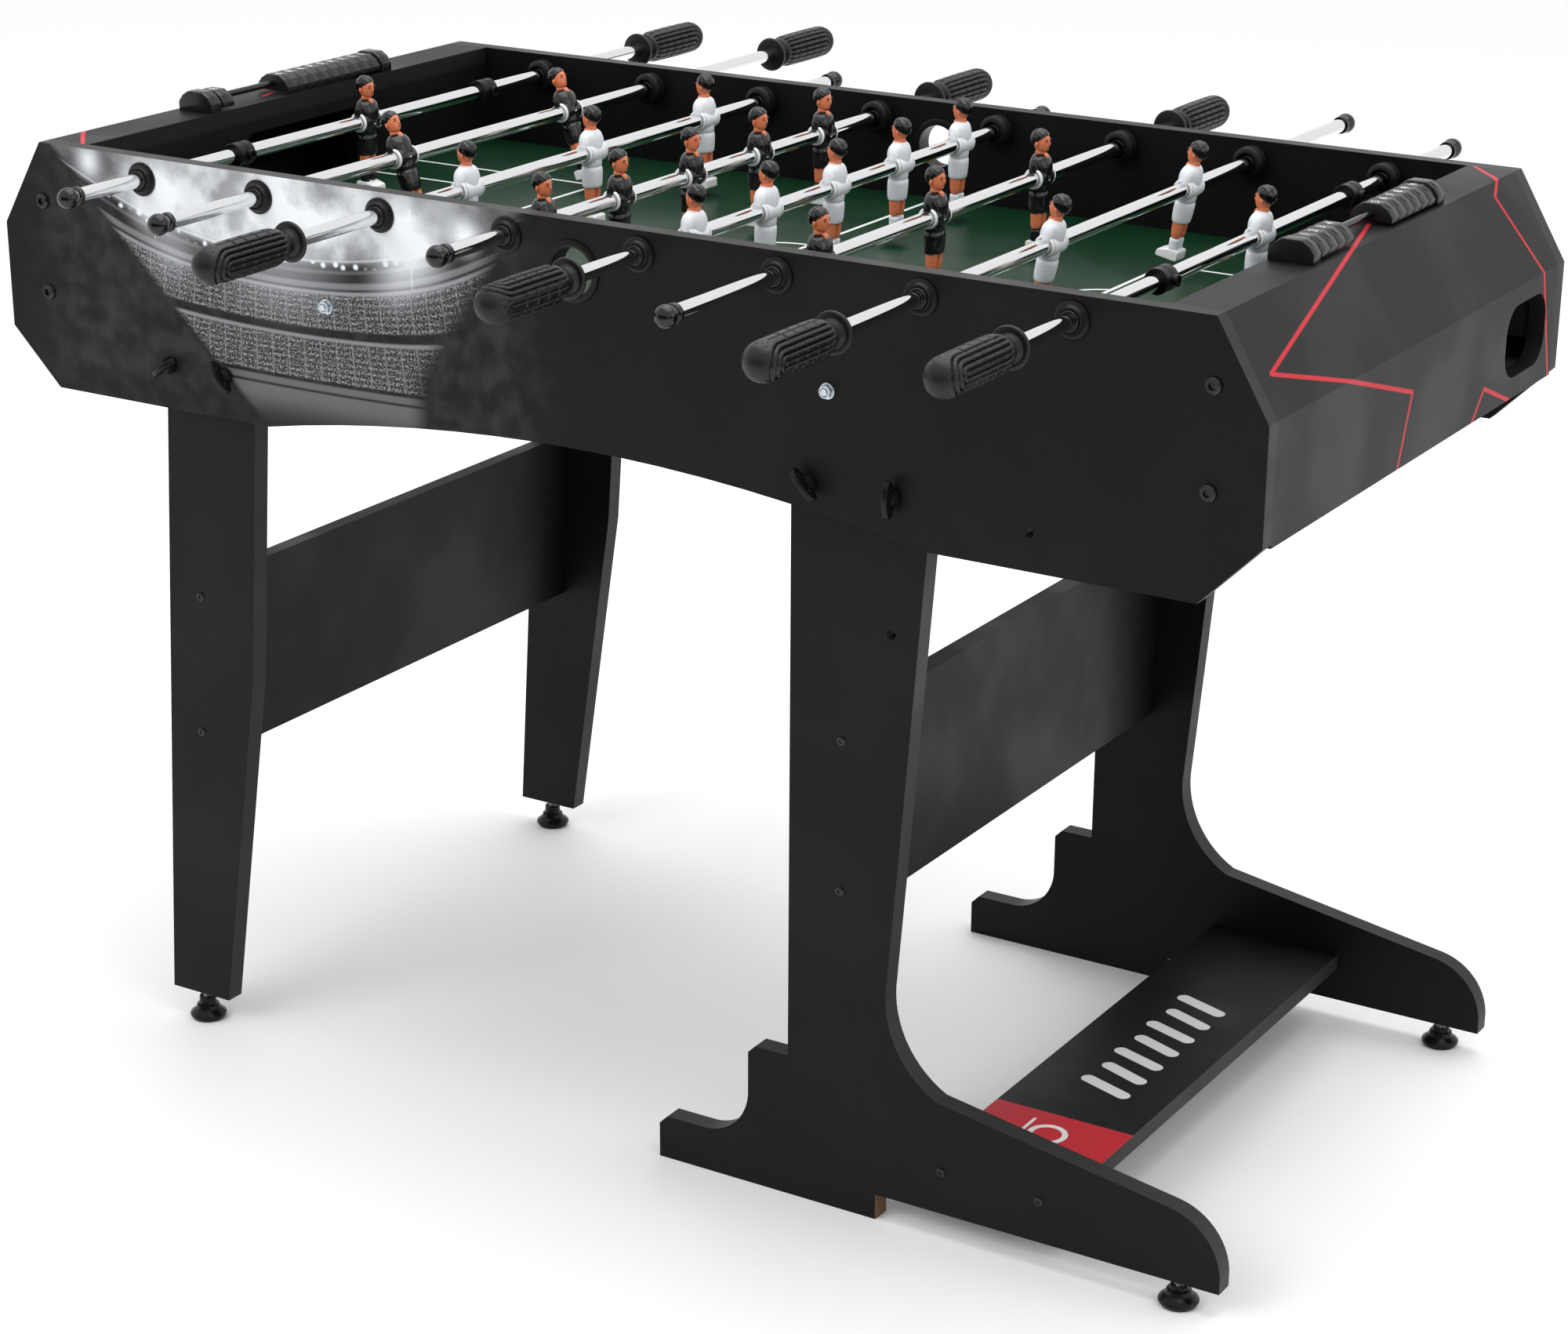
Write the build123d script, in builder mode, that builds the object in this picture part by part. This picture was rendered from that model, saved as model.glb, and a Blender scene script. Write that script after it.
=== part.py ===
"""Folding foosball table: every separate board, rod, figure set, fitting and foot."""

import os
from math import cos, radians, sin

from build123d import *

# Frame: +X along the table towards the T-foot stand, +Y away from the near side, +Z up, floor at Z = 0.
# All dimensions in millimetres.

# cabinet
half_length = 605.0
half_width = 305.0
board = 15.0
centre_y = -36.5
inner_y = half_width - board
top_z = 817.0
shoulder_x, shoulder_z = 560.0, 742.0
hip_z = 649.0
bottom_x, bottom_z = 555.0, 599.0
arch_half, arch_rise = 320.0, 31.0
field_half = 517.0
field_top = 727.0
field_thick = 6.0
batten = 15.0
tray_z = 656.0
rail_corner_x = 551.5
slope_corner_z = 737.85
end_bottom_z = 646.0

# goals, ball inlets and ball return
goal_half, goal_top, goal_corner = 80.0, 791.0, 10.0
inlet_z, inlet_bore, inlet_tube, inlet_flange = 776.0, 19.5, 22.5, 25.5
return_y, return_z, return_long, return_high, return_corner = 222.0, 695.0, 92.0, 62.0, 24.0

# rods
rod_z = 798.0
rod_pitch = 127.0
rod_r, rod_wall = 6.35, 1.2
sleeve_bore, sleeve_r = 6.40, 8.5
housing_bore, housing_r = 8.55, 10.5
bumper_r = 14.5
bumper_face = 275.0
cap_r = 9.0
grip_length = 112.0
collar_half, collar_at = 10.0, 181.0

# fold joints, wing screws and fasteners
fold_z = 638.0
stand_pivot_x, stand_lock_x = 296.5, 221.0
plain_pivot_x, plain_lock_x = -363.0, -425.0
screw_r, screw_clear = 4.0, 4.05
stored_x, stored_z = 414.5, 629.5
stand_hole_x, stand_hole_z = 288.0, 520.0
tie_x, tie_z, tie_r = (-250.0, 237.0), 713.5, 3.0
bolt_x, bolt_zs = 560.0, (765.5, 685.0)

# legs
leg_board = 18.0
leg_face = inner_y - 0.5
leg_inner = leg_face - leg_board
leg_top = 653.0
stand_back, stand_front = 195.3, 318.7
toe_x, toe_z = 597.7, 23.3
heel_x = 66.0
plain_foot_x, plain_foot_z = -448.0, 27.7
stand_foot_x = 559.0
stud_r, stud_clear = 4.0, 4.05

# score counters
counter_x, counter_mid, counter_half = 537.0, 6.0, 132.0
bead_pitch, bead_gap, block = 15.5, 0.3, 14.0
near_slack, far_slack = 4.0, 1.0
bead_rod_r, bead_bore, bead_z = 3.0, 3.05, 826.0

# number of figures on each rod from left to right, side the grip is on (+1 far, -1 near),
# way the figures face (+1 to +X), rest offset along the rod and rest lean
figures = (1, 2, 3, 5, 5, 3, 2, 1)
grip_side = (1, 1, -1, 1, -1, 1, -1, -1)
rest_offset = (4.0, 18.0, 0.0, -34.0, -5.0, -57.0, 33.0, 25.0)
rest_lean = (0.0, -20.0, 0.0, 0.0, 3.0, 0.0, 12.0, 6.0)
# per number of figures: spacing between figures, rod end on the cap side, rod end on the grip side
spacing = {1: 0.0, 2: 254.0, 3: 185.0, 5: 110.0}
cap_end = {1: 418.0, 2: 465.5, 3: 419.0, 5: 380.0}
grip_end = {1: 548.0, 2: 588.0, 3: 542.0, 5: 518.0}
# how much further a rod reaches out of the far panel than out of the near one, to either side of the mean
cap_shift, grip_shift = 8.0, 11.0

os.makedirs("parts", exist_ok=True)


def upright(y):
    """Plane seen from the near side: local x is +X, local y is +Z, extrusion runs to -Y."""
    return Plane.XZ.offset(-y)


def figure_plane(x, y, lean, facing):
    """Plane on a rod's axis, leaned about the rod, with local x the way the figure faces."""
    a = radians(lean)
    return Plane(
        origin=(x, y, rod_z),
        x_dir=(facing * cos(a), 0, -facing * sin(a)),
        z_dir=(0, -facing, 0),
    )


def side_ring(x, z, points):
    """Turned ring about a line along Y; points are (radius, distance out from the centre plane)."""
    for side in (-1, 1):
        ring(x, centre_y, z, [(r, side * d) for r, d in points])


def ring(x, y, z, points):
    """Turned ring about a line along Y; points are (radius, distance along +Y from y)."""
    with BuildSketch(Plane(origin=(x, y, z), z_dir=(0, 0, 1))) as section:
        with BuildLine():
            Polyline(*points, close=True)
        make_face()
    revolve(section.sketch, axis=Axis((x, y, z), (0, 1, 0)))


def rod_x(index):
    return (index - 3.5) * rod_pitch


def through_holes():
    """Holes shared by both side panels, cut through whatever is being built."""
    with BuildSketch(upright(centre_y)) as holes:
        with Locations(*[(rod_x(i), rod_z) for i in range(8)]):
            Circle(housing_r)
        with Locations((0, inlet_z)):
            Circle(inlet_tube)
        with Locations((tie_x[0], tie_z), (tie_x[1], tie_z)):
            Circle(tie_r)
        with Locations(*[(s * bolt_x, z) for s in (-1, 1) for z in bolt_zs]):
            Circle(tie_r)
        with Locations(*[(x, fold_z) for x in (stand_pivot_x, stand_lock_x, plain_pivot_x, plain_lock_x)]):
            Circle(screw_clear)
        with Locations((stored_x, stored_z)):
            Circle(screw_clear)
    extrude(holes.sketch, amount=half_width + 10, both=True, mode=Mode.SUBTRACT)


def panel(outer_y):
    with BuildSketch(upright(outer_y)) as outline:
        with BuildLine():
            Polyline(
                (arch_half, bottom_z),
                (bottom_x, bottom_z),
                (half_length, hip_z),
                (half_length, shoulder_z),
                (shoulder_x, top_z),
                (-shoulder_x, top_z),
                (-half_length, shoulder_z),
                (-half_length, hip_z),
                (-bottom_x, bottom_z),
                (-arch_half, bottom_z),
            )
            ThreePointArc((-arch_half, bottom_z), (0, bottom_z + arch_rise), (arch_half, bottom_z))
        make_face()
    extrude(outline.sketch, amount=board)
    through_holes()


with BuildPart() as side_panel_near:
    panel(centre_y - inner_y)
side_panel_near.part.label = "side_panel_near"
export_step(side_panel_near.part, "parts/side_panel_near.step")

with BuildPart() as side_panel_far:
    panel(centre_y + half_width)
side_panel_far.part.label = "side_panel_far"
export_step(side_panel_far.part, "parts/side_panel_far.step")


def end_boards(points):
    """The same board at both ends, running between the side panels."""
    for side in (-1, 1):
        with BuildSketch(upright(centre_y + inner_y)) as section:
            with BuildLine():
                Polyline(*[(side * x, z) for x, z in points], close=True)
            make_face()
        extrude(section.sketch, amount=2 * inner_y)


with BuildPart() as end_top_rails:
    end_boards(
        [
            (field_half, top_z),
            (shoulder_x, top_z),
            (rail_corner_x, top_z - board),
            (field_half, top_z - board),
        ]
    )
end_top_rails.part.label = "end_top_rails"
export_step(end_top_rails.part, "parts/end_top_rails.step")

with BuildPart() as end_slope_boards:
    end_boards(
        [
            (shoulder_x, top_z),
            (half_length, shoulder_z),
            (half_length - board, slope_corner_z),
            (rail_corner_x, top_z - board),
        ]
    )
end_slope_boards.part.label = "end_slope_boards"
export_step(end_slope_boards.part, "parts/end_slope_boards.step")

with BuildPart() as end_lower_boards:
    end_boards(
        [
            (half_length, shoulder_z),
            (half_length, end_bottom_z),
            (half_length - board, end_bottom_z),
            (half_length - board, slope_corner_z),
        ]
    )
    for side in (-1, 1):
        with BuildSketch(Plane.YZ.offset(side * half_length)):
            with Locations((centre_y + side * return_y, return_z)):
                RectangleRounded(return_long, return_high, return_corner)
        extrude(amount=board + 5, both=True, mode=Mode.SUBTRACT)
end_lower_boards.part.label = "end_lower_boards"
export_step(end_lower_boards.part, "parts/end_lower_boards.step")

with BuildPart() as goal_walls:
    end_boards(
        [
            (field_half, top_z - board),
            (field_half + board, top_z - board),
            (field_half + board, tray_z),
            (field_half, tray_z),
        ]
    )
    for side in (-1, 1):
        with BuildSketch(Plane.YZ.offset(side * field_half)):
            with Locations((centre_y, (field_top + goal_top) / 2)):
                RectangleRounded(2 * goal_half, goal_top - field_top, goal_corner)
        extrude(amount=board + 5, both=True, mode=Mode.SUBTRACT)
goal_walls.part.label = "goal_walls"
export_step(goal_walls.part, "parts/goal_walls.step")

with BuildPart() as playfield:
    with BuildSketch(Plane.XY.offset(field_top - field_thick)):
        with Locations((0, centre_y)):
            Rectangle(2 * field_half, 2 * inner_y)
    extrude(amount=field_thick)
playfield.part.label = "playfield"
export_step(playfield.part, "parts/playfield.step")

# Battens under the field, cleats behind the end boards and the sloping ball trays
batten_top = field_top - field_thick
with BuildPart() as inner_battens:
    for side in (-1, 1):
        with BuildSketch(Plane.XY.offset(batten_top - batten)):
            with Locations((0, centre_y + side * (inner_y - batten / 2))):
                Rectangle(2 * field_half, batten)
            with Locations((side * (field_half - batten / 2), centre_y)):
                Rectangle(batten, 2 * (inner_y - batten))
        extrude(amount=batten)
        for across in (-1, 1):
            with BuildSketch(upright(centre_y + across * (inner_y - leg_board / 2))):
                with BuildLine():
                    Polyline(
                        (side * (field_half + board), 798),
                        (side * 549, 798),
                        (side * 588, 733),
                        (side * 588, 680),
                        (side * (field_half + board), 680),
                        close=True,
                    )
                make_face()
                with Locations(*[(side * bolt_x, z) for z in bolt_zs]):
                    Circle(tie_r, mode=Mode.SUBTRACT)
            extrude(amount=leg_board / 2, both=True)
        with BuildSketch(Plane.YZ.offset(side * (field_half + board))):
            with BuildLine():
                Polyline(
                    (centre_y - side * inner_y, tray_z + 20),
                    (centre_y + side * inner_y, tray_z + 6),
                    (centre_y + side * inner_y, tray_z),
                    (centre_y - side * inner_y, tray_z + 14),
                    close=True,
                )
            make_face()
        extrude(amount=side * (half_length - field_half - 2 * board))
    with BuildSketch(upright(centre_y)):
        with Locations((tie_x[0], tie_z), (tie_x[1], tie_z)):
            Circle(tie_r)
    extrude(amount=inner_y, both=True, mode=Mode.SUBTRACT)
inner_battens.part.label = "inner_battens"
export_step(inner_battens.part, "parts/inner_battens.step")

with BuildPart() as ball_inlets:
    side_ring(
        0,
        inlet_z,
        [
            (inlet_bore, inner_y - 2),
            (inlet_flange, inner_y - 2),
            (inlet_flange, inner_y),
            (inlet_tube, inner_y),
            (inlet_tube, half_width),
            (inlet_flange, half_width),
            (inlet_flange, half_width + 2),
            (inlet_bore, half_width + 2),
        ],
    )
ball_inlets.part.label = "ball_inlets"
export_step(ball_inlets.part, "parts/ball_inlets.step")

# Flanged housing through each panel with a ribbed bumper pressed on its inner end
with BuildPart() as rod_bearings:
    for i in range(8):
        side_ring(
            rod_x(i),
            rod_z,
            [
                (housing_bore, inner_y - 6),
                (housing_r, inner_y - 6),
                (housing_r, half_width),
                (bumper_r, half_width),
                (bumper_r, half_width + 2.5),
                (11.0, half_width + 3.5),
                (11.0, half_width + 6),
                (housing_bore, half_width + 6),
            ],
        )
        side_ring(
            rod_x(i),
            rod_z,
            [
                (9.2, bumper_face),
                (12.0, bumper_face),
                (bumper_r, bumper_face + 2),
                (bumper_r, bumper_face + 4),
                (12.5, bumper_face + 5),
                (bumper_r, bumper_face + 6),
                (bumper_r, bumper_face + 9),
                (12.5, bumper_face + 10),
                (bumper_r, bumper_face + 11),
                (bumper_r, inner_y),
                (housing_r, inner_y),
                (housing_r, inner_y - 6),
                (9.2, inner_y - 6),
            ],
        )
rod_bearings.part.label = "rod_bearings"
export_step(rod_bearings.part, "parts/rod_bearings.step")

# Corner bolts, and two tie rods under the field with a nut at each end
with BuildPart() as cabinet_bolts:
    for side in (-1, 1):
        for z in bolt_zs:
            for across in (-1, 1):
                with BuildSketch(upright(centre_y + across * half_width)):
                    with Locations((side * bolt_x, z)):
                        Circle(7)
                extrude(amount=-across * 3)
                with BuildSketch(upright(centre_y + across * half_width)):
                    with Locations((side * bolt_x, z)):
                        Circle(tie_r)
                extrude(amount=across * 32)
        tie = tie_x[0] if side < 0 else tie_x[1]
        with BuildSketch(upright(centre_y)):
            with Locations((tie, tie_z)):
                Circle(tie_r)
        extrude(amount=half_width + 7, both=True)
        for across in (-1, 1):
            with BuildSketch(upright(centre_y + across * half_width)):
                with Locations((tie, tie_z)):
                    Circle(6.5)
            extrude(amount=-across * 1)
            with BuildSketch(upright(centre_y + across * (half_width + 1))):
                with Locations((tie, tie_z)):
                    RegularPolygon(5.8, 6)
            extrude(amount=-across * 5)
cabinet_bolts.part.label = "cabinet_bolts"
export_step(cabinet_bolts.part, "parts/cabinet_bolts.step")


def counter_piece(side, y, length, half, low, high, bore):
    """Block or bead of a counter at one end, from y towards the far side: flat top, sloping shoulders."""
    x = side * counter_x
    with BuildSketch(upright(y + length)) as section:
        with BuildLine():
            Polyline(
                (x - half, low),
                (x + half, low),
                (x + half, high - 10),
                (x + half - 4.5, high - 4),
                (x + half - 11, high),
                (x - half + 11, high),
                (x - half + 4.5, high - 4),
                (x - half, high - 10),
                close=True,
            )
        make_face()
        with Locations((x, bead_z)):
            Circle(bore, mode=Mode.SUBTRACT)
    extrude(section.sketch, amount=length)


def beads(side, first, count):
    """Score beads in a row along the counter's rod, starting at distance first from its centre."""
    for k in range(count):
        y = centre_y + first + k * bead_pitch
        counter_piece(side, y, bead_pitch - bead_gap, 18.0, top_z + 2.5, top_z + 17, bead_bore)


bead_start = counter_mid - counter_half + block + near_slack
bead_end = counter_mid + counter_half - block - far_slack
with BuildPart() as score_counters:
    for side, near, far in ((-1, 0, 9), (1, 3, 6)):
        for y in (-counter_half, counter_half - block):
            counter_piece(side, centre_y + counter_mid + y, block, 19.0, top_z, top_z + 18, bead_rod_r)
        with BuildSketch(upright(centre_y + counter_mid)):
            with Locations((side * counter_x, bead_z)):
                Circle(bead_rod_r)
        extrude(amount=counter_half - 3, both=True)
        beads(side, bead_start, near)
        beads(side, bead_end - far * bead_pitch, far)
score_counters.part.label = "score_counters"
export_step(score_counters.part, "parts/score_counters.step")

with BuildPart() as left_score_bead:
    beads(-1, bead_start, 1)
left_score_bead.part.label = "left_score_bead"
export_step(left_score_bead.part, "parts/left_score_bead.step")

with BuildPart() as right_score_bead:
    beads(1, bead_start + 3 * bead_pitch, 1)
right_score_bead.part.label = "right_score_bead"
export_step(right_score_bead.part, "parts/right_score_bead.step")


# Stand: two T-foot legs with separate heel boards, an upright board between them and a low base board
with BuildPart() as stand_legs:
    for across in (-1, 1):
        with BuildSketch(upright(centre_y + across * (leg_face + leg_inner) / 2)):
            with BuildLine():
                Polyline(
                    (stand_back, 0),
                    (stand_back, leg_top),
                    (stand_front, leg_top),
                    (stand_front, 592.6),
                    (297.5, 320.0),
                    (288.5, 210.0),
                )
                ThreePointArc((288.5, 210.0), (300.5, 160.0), (338.0, 124.0))
                Line((338.0, 124.0), (552.0, 88.5))
                ThreePointArc((552.0, 88.5), (586.0, 68.0), (toe_x, 38.0))
                Polyline(
                    (toe_x, 38.0),
                    (toe_x, toe_z),
                    (282.4, toe_z),
                    (282.4, 0),
                    (stand_back, 0),
                )
            make_face()
            with Locations((stand_pivot_x, fold_z), (stand_hole_x, stand_hole_z)):
                Circle(screw_clear, mode=Mode.SUBTRACT)
        extrude(amount=leg_board / 2, both=True)
        with BuildSketch(Plane.XY.offset(toe_z)):
            with Locations((stand_foot_x, centre_y + across * (leg_face + leg_inner) / 2)):
                Circle(stud_clear)
        extrude(amount=22, mode=Mode.SUBTRACT)
stand_legs.part.label = "stand_legs"
export_step(stand_legs.part, "parts/stand_legs.step")

with BuildPart() as stand_heels:
    for across in (-1, 1):
        with BuildSketch(upright(centre_y + across * (leg_face + leg_inner) / 2)):
            with BuildLine():
                Polyline((heel_x + 8, 40.0), (heel_x, 32.0), (heel_x, 0), (stand_back, 0), (stand_back, 130.0))
                Polyline((stand_back, 130.0), (163.0, 130.0), (156.0, 123.0), (156.0, 84.0))
                ThreePointArc((156.0, 84.0), (143.5, 54.0), (114.0, 40.0))
                Line((114.0, 40.0), (heel_x + 8, 40.0))
            make_face()
        extrude(amount=leg_board / 2, both=True)
stand_heels.part.label = "stand_heels"
export_step(stand_heels.part, "parts/stand_heels.step")

with BuildPart() as stand_board:
    with BuildSketch(upright(centre_y)):
        with Locations((244.0, 357.5)):
            Rectangle(leg_board, 175)
    extrude(amount=leg_inner, both=True)
stand_board.part.label = "stand_board"
export_step(stand_board.part, "parts/stand_board.step")

with BuildPart() as base_board:
    with BuildSketch(upright(centre_y)):
        with Locations((391.5, 62.0)):
            Rectangle(129, board)
    extrude(amount=leg_inner, both=True)
base_board.part.label = "base_board"
export_step(base_board.part, "parts/base_board.step")

# Folding leg frame at the other end
with BuildPart() as plain_legs:
    for across in (-1, 1):
        with BuildSketch(upright(centre_y + across * (leg_face + leg_inner) / 2)):
            with BuildLine():
                Polyline(
                    (-480.5, plain_foot_z),
                    (-441.5, leg_top),
                    (-343.5, leg_top),
                    (-347.5, 593.0),
                    (-364.5, 355.0),
                    (-414.5, plain_foot_z),
                    close=True,
                )
            make_face()
            with Locations((plain_pivot_x, fold_z)):
                Circle(screw_clear, mode=Mode.SUBTRACT)
        extrude(amount=leg_board / 2, both=True)
        with BuildSketch(Plane.XY.offset(plain_foot_z)):
            with Locations((plain_foot_x, centre_y + across * (leg_face + leg_inner) / 2)):
                Circle(stud_clear)
        extrude(amount=30, mode=Mode.SUBTRACT)
plain_legs.part.label = "plain_legs"
export_step(plain_legs.part, "parts/plain_legs.step")

with BuildPart() as plain_leg_board:
    with BuildSketch(upright(centre_y)):
        with BuildLine():
            Polyline((-436.5, 268.0), (-421.5, 268.0), (-411.5, 440.0), (-426.5, 440.0), close=True)
        make_face()
    extrude(amount=leg_inner, both=True)
plain_leg_board.part.label = "plain_leg_board"
export_step(plain_leg_board.part, "parts/plain_leg_board.step")


def levelling_foot(x, y, underside, stud_top):
    """Stepped plastic foot on a threaded stud."""
    with BuildSketch(Plane(origin=(x, y, 0), z_dir=(0, -1, 0), x_dir=(1, 0, 0))) as section:
        with BuildLine():
            Polyline(
                (0, 0),
                (14.0, 0),
                (17.0, 4.0),
                (16.5, 6.5),
                (11.0, 10.0),
                (10.0, 14.0),
                (7.5, 15.0),
                (7.0, underside - 5),
                (stud_r, underside - 5),
                (stud_r, stud_top),
                (0, stud_top),
                close=True,
            )
        make_face()
    revolve(section.sketch, axis=Axis((x, y, 0), (0, 0, 1)))


foot_y = (leg_face + leg_inner) / 2
with BuildPart() as plain_foot_near:
    levelling_foot(plain_foot_x, centre_y - foot_y, plain_foot_z, plain_foot_z + 26)
plain_foot_near.part.label = "plain_foot_near"
export_step(plain_foot_near.part, "parts/plain_foot_near.step")

with BuildPart() as plain_foot_far:
    levelling_foot(plain_foot_x, centre_y + foot_y, plain_foot_z, plain_foot_z + 26)
plain_foot_far.part.label = "plain_foot_far"
export_step(plain_foot_far.part, "parts/plain_foot_far.step")

with BuildPart() as stand_foot_near:
    levelling_foot(stand_foot_x, centre_y - foot_y, toe_z, toe_z + 18)
stand_foot_near.part.label = "stand_foot_near"
export_step(stand_foot_near.part, "parts/stand_foot_near.step")

with BuildPart() as stand_foot_far:
    levelling_foot(stand_foot_x, centre_y + foot_y, toe_z, toe_z + 18)
stand_foot_far.part.label = "stand_foot_far"
export_step(stand_foot_far.part, "parts/stand_foot_far.step")


def wing_screws(x, tilt, tip):
    """A wing screw in each side panel on one line; tip is the shaft's end from the centre plane."""
    for across in (-1, 1):
        with BuildSketch(upright(centre_y + across * tip)) as shaft:
            with Locations((x, fold_z)):
                Circle(screw_r)
        extrude(shaft.sketch, amount=-across * (half_width + 4 - tip))
        with BuildSketch(upright(centre_y + across * (half_width + 1))) as boss:
            with Locations((x, fold_z)):
                Circle(7.5)
        extrude(boss.sketch, amount=-across * 5)
        with BuildSketch(
            Plane(
                origin=(x, centre_y + across * (half_width + 4), fold_z),
                x_dir=(sin(radians(tilt)), 0, cos(radians(tilt))),
                z_dir=(cos(radians(tilt)), 0, -sin(radians(tilt))),
            )
        ) as wing:
            with BuildLine():
                ThreePointArc((-15.5, 0), (0, -across * 11), (15.5, 0))
                Line((15.5, 0), (-15.5, 0))
            make_face()
        extrude(wing.sketch, amount=2.5, both=True)


with BuildPart() as stand_pivot_screws:
    wing_screws(stand_pivot_x, 0.0, leg_inner)
stand_pivot_screws.part.label = "stand_pivot_screws"
export_step(stand_pivot_screws.part, "parts/stand_pivot_screws.step")

with BuildPart() as stand_lock_screws:
    wing_screws(stand_lock_x, -42.0, inner_y)
stand_lock_screws.part.label = "stand_lock_screws"
export_step(stand_lock_screws.part, "parts/stand_lock_screws.step")

with BuildPart() as plain_pivot_screws:
    wing_screws(plain_pivot_x, -35.0, leg_inner)
plain_pivot_screws.part.label = "plain_pivot_screws"
export_step(plain_pivot_screws.part, "parts/plain_pivot_screws.step")

with BuildPart() as plain_lock_screws:
    wing_screws(plain_lock_x, 55.0, inner_y)
plain_lock_screws.part.label = "plain_lock_screws"
export_step(plain_lock_screws.part, "parts/plain_lock_screws.step")


def figure(x, y, lean, facing):
    """One player figure clamped round a rod, 105 mm from hair to sole."""
    place = figure_plane(x, y, lean, facing)
    sections = (
        ([(-8, -12), (8, -12), (9.5, 4), (8, 16), (3, 24), (-5, 24), (-9.5, 16), (-9, 0)], 13.0),
        ([(-8.5, -10), (8, -10), (7.5, -31), (-7, -31)], 11.5),
        ([(-5.5, -30), (6, -30), (5, -52), (-5, -52)], 8.0),
        ([(-6, -48), (6, -48), (12.5, -57), (12.5, -64), (-8, -64), (-8, -56)], 9.0),
    )
    for outline, half in sections:
        with BuildSketch(place) as section:
            with BuildLine():
                Polyline(*outline, close=True)
            make_face()
        extrude(section.sketch, amount=half, both=True)
    with BuildSketch(place) as boss:
        Circle(10.5)
    extrude(boss.sketch, amount=13.0, both=True)
    with Locations(place.location * Location((0.5, 32.2, 0))):
        Sphere(8.8)
    with BuildSketch(place) as hole:
        Circle(rod_r)
    extrude(hole.sketch, amount=15, both=True, mode=Mode.SUBTRACT)


def playing_rod(index):
    """Tube, figures, grip with end cap and stop collars, and the two turning sleeves of one rod."""
    name = f"rod_{index + 1}"
    count, side = figures[index], grip_side[index]
    x, y0, lean = rod_x(index), centre_y + rest_offset[index], rest_lean[index]
    facing = 1 if index in (0, 1, 3, 5) else -1
    cap, end = cap_end[count] - side * cap_shift, grip_end[count] + side * grip_shift
    tube_cap, tube_grip = cap - 6, end - 10
    low, high = (tube_cap, tube_grip) if side > 0 else (tube_grip, tube_cap)

    with BuildPart() as tube:
        with BuildSketch(upright(y0 + high)):
            with Locations((x, rod_z)):
                Circle(rod_r)
                Circle(rod_r - rod_wall, mode=Mode.SUBTRACT)
        extrude(amount=low + high)
    tube.part.label = f"{name}_tube"
    export_step(tube.part, f"parts/{name}_tube.step")

    with BuildPart() as men:
        for k in range(count):
            figure(x, y0 + (k - (count - 1) / 2) * spacing[count], lean, facing)
    men.part.label = f"{name}_men"
    export_step(men.part, f"parts/{name}_men.step")

    start = end - grip_length
    with BuildPart() as grip:
        ring(
            x,
            y0,
            rod_z,
            [
                (r, side * d)
                for r, d in (
                    (rod_r, start),
                    (16.6, start),
                    (16.6, start + 4),
                    (9.0, start + 5),
                    (9.0, start + 13),
                    (13.4, start + 18),
                    (15.6, start + 26),
                    (15.6, end - 15),
                    (13.4, end - 6),
                    (7.5, end),
                    (0, end),
                    (0, tube_grip),
                    (rod_r, tube_grip),
                )
            ],
        )
        cap_y = y0 - side * (cap - cap_r)
        with Locations((x, cap_y, rod_z)):
            Sphere(cap_r)
        with BuildSketch(upright(cap_y)):
            with Locations((x, rod_z)):
                Circle(8.0)
        extrude(amount=-side * 13)
        with BuildSketch(upright(y0 - side * tube_cap)):
            with Locations((x, rod_z)):
                Circle(rod_r)
        extrude(amount=-side * 40, mode=Mode.SUBTRACT)
        if count == 1:
            for across in (-1, 1):
                with BuildSketch(upright(y0 + across * collar_at)):
                    with Locations((x, rod_z)):
                        Circle(10.5)
                extrude(amount=collar_half, both=True)
                with BuildSketch(Plane.YZ.offset(x)):
                    with Locations((y0 + across * collar_at + 3, rod_z)):
                        Circle(5.0)
                extrude(amount=13.5)
                with BuildSketch(upright(y0 + across * collar_at)):
                    with Locations((x, rod_z)):
                        Circle(rod_r)
                extrude(amount=collar_half + 5, both=True, mode=Mode.SUBTRACT)
    grip.part.label = f"{name}_grip"
    export_step(grip.part, f"parts/{name}_grip.step")

    with BuildPart() as sleeves:
        side_ring(
            x,
            rod_z,
            [
                (sleeve_bore, bumper_face + 1),
                (7.6, bumper_face + 1),
                (sleeve_r, bumper_face + 5),
                (sleeve_r, half_width + 7),
                (sleeve_bore, half_width + 7),
            ],
        )
    sleeves.part.label = f"{name}_sleeves"
    export_step(sleeves.part, f"parts/{name}_sleeves.step")


for number in range(8):
    playing_rod(number)
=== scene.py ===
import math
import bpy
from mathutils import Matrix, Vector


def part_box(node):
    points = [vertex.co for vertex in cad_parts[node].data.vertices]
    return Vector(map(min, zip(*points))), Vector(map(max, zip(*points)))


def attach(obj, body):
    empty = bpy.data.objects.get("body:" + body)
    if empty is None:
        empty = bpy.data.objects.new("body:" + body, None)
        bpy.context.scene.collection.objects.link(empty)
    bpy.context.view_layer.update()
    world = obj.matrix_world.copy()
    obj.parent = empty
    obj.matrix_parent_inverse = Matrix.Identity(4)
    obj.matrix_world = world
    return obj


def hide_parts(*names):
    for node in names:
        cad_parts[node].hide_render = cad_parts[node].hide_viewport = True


bl_info = {
    "name": "Folding Foosball Table",
    "version": (1, 0, 0),
    "blender": (4, 5, 0),
    "location": "3D View > Sidebar > Foosball",
    "description": "Boards, rods, figures, grips and fittings of a folding foosball table",
    "category": "Object",
}

from functools import reduce

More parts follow.
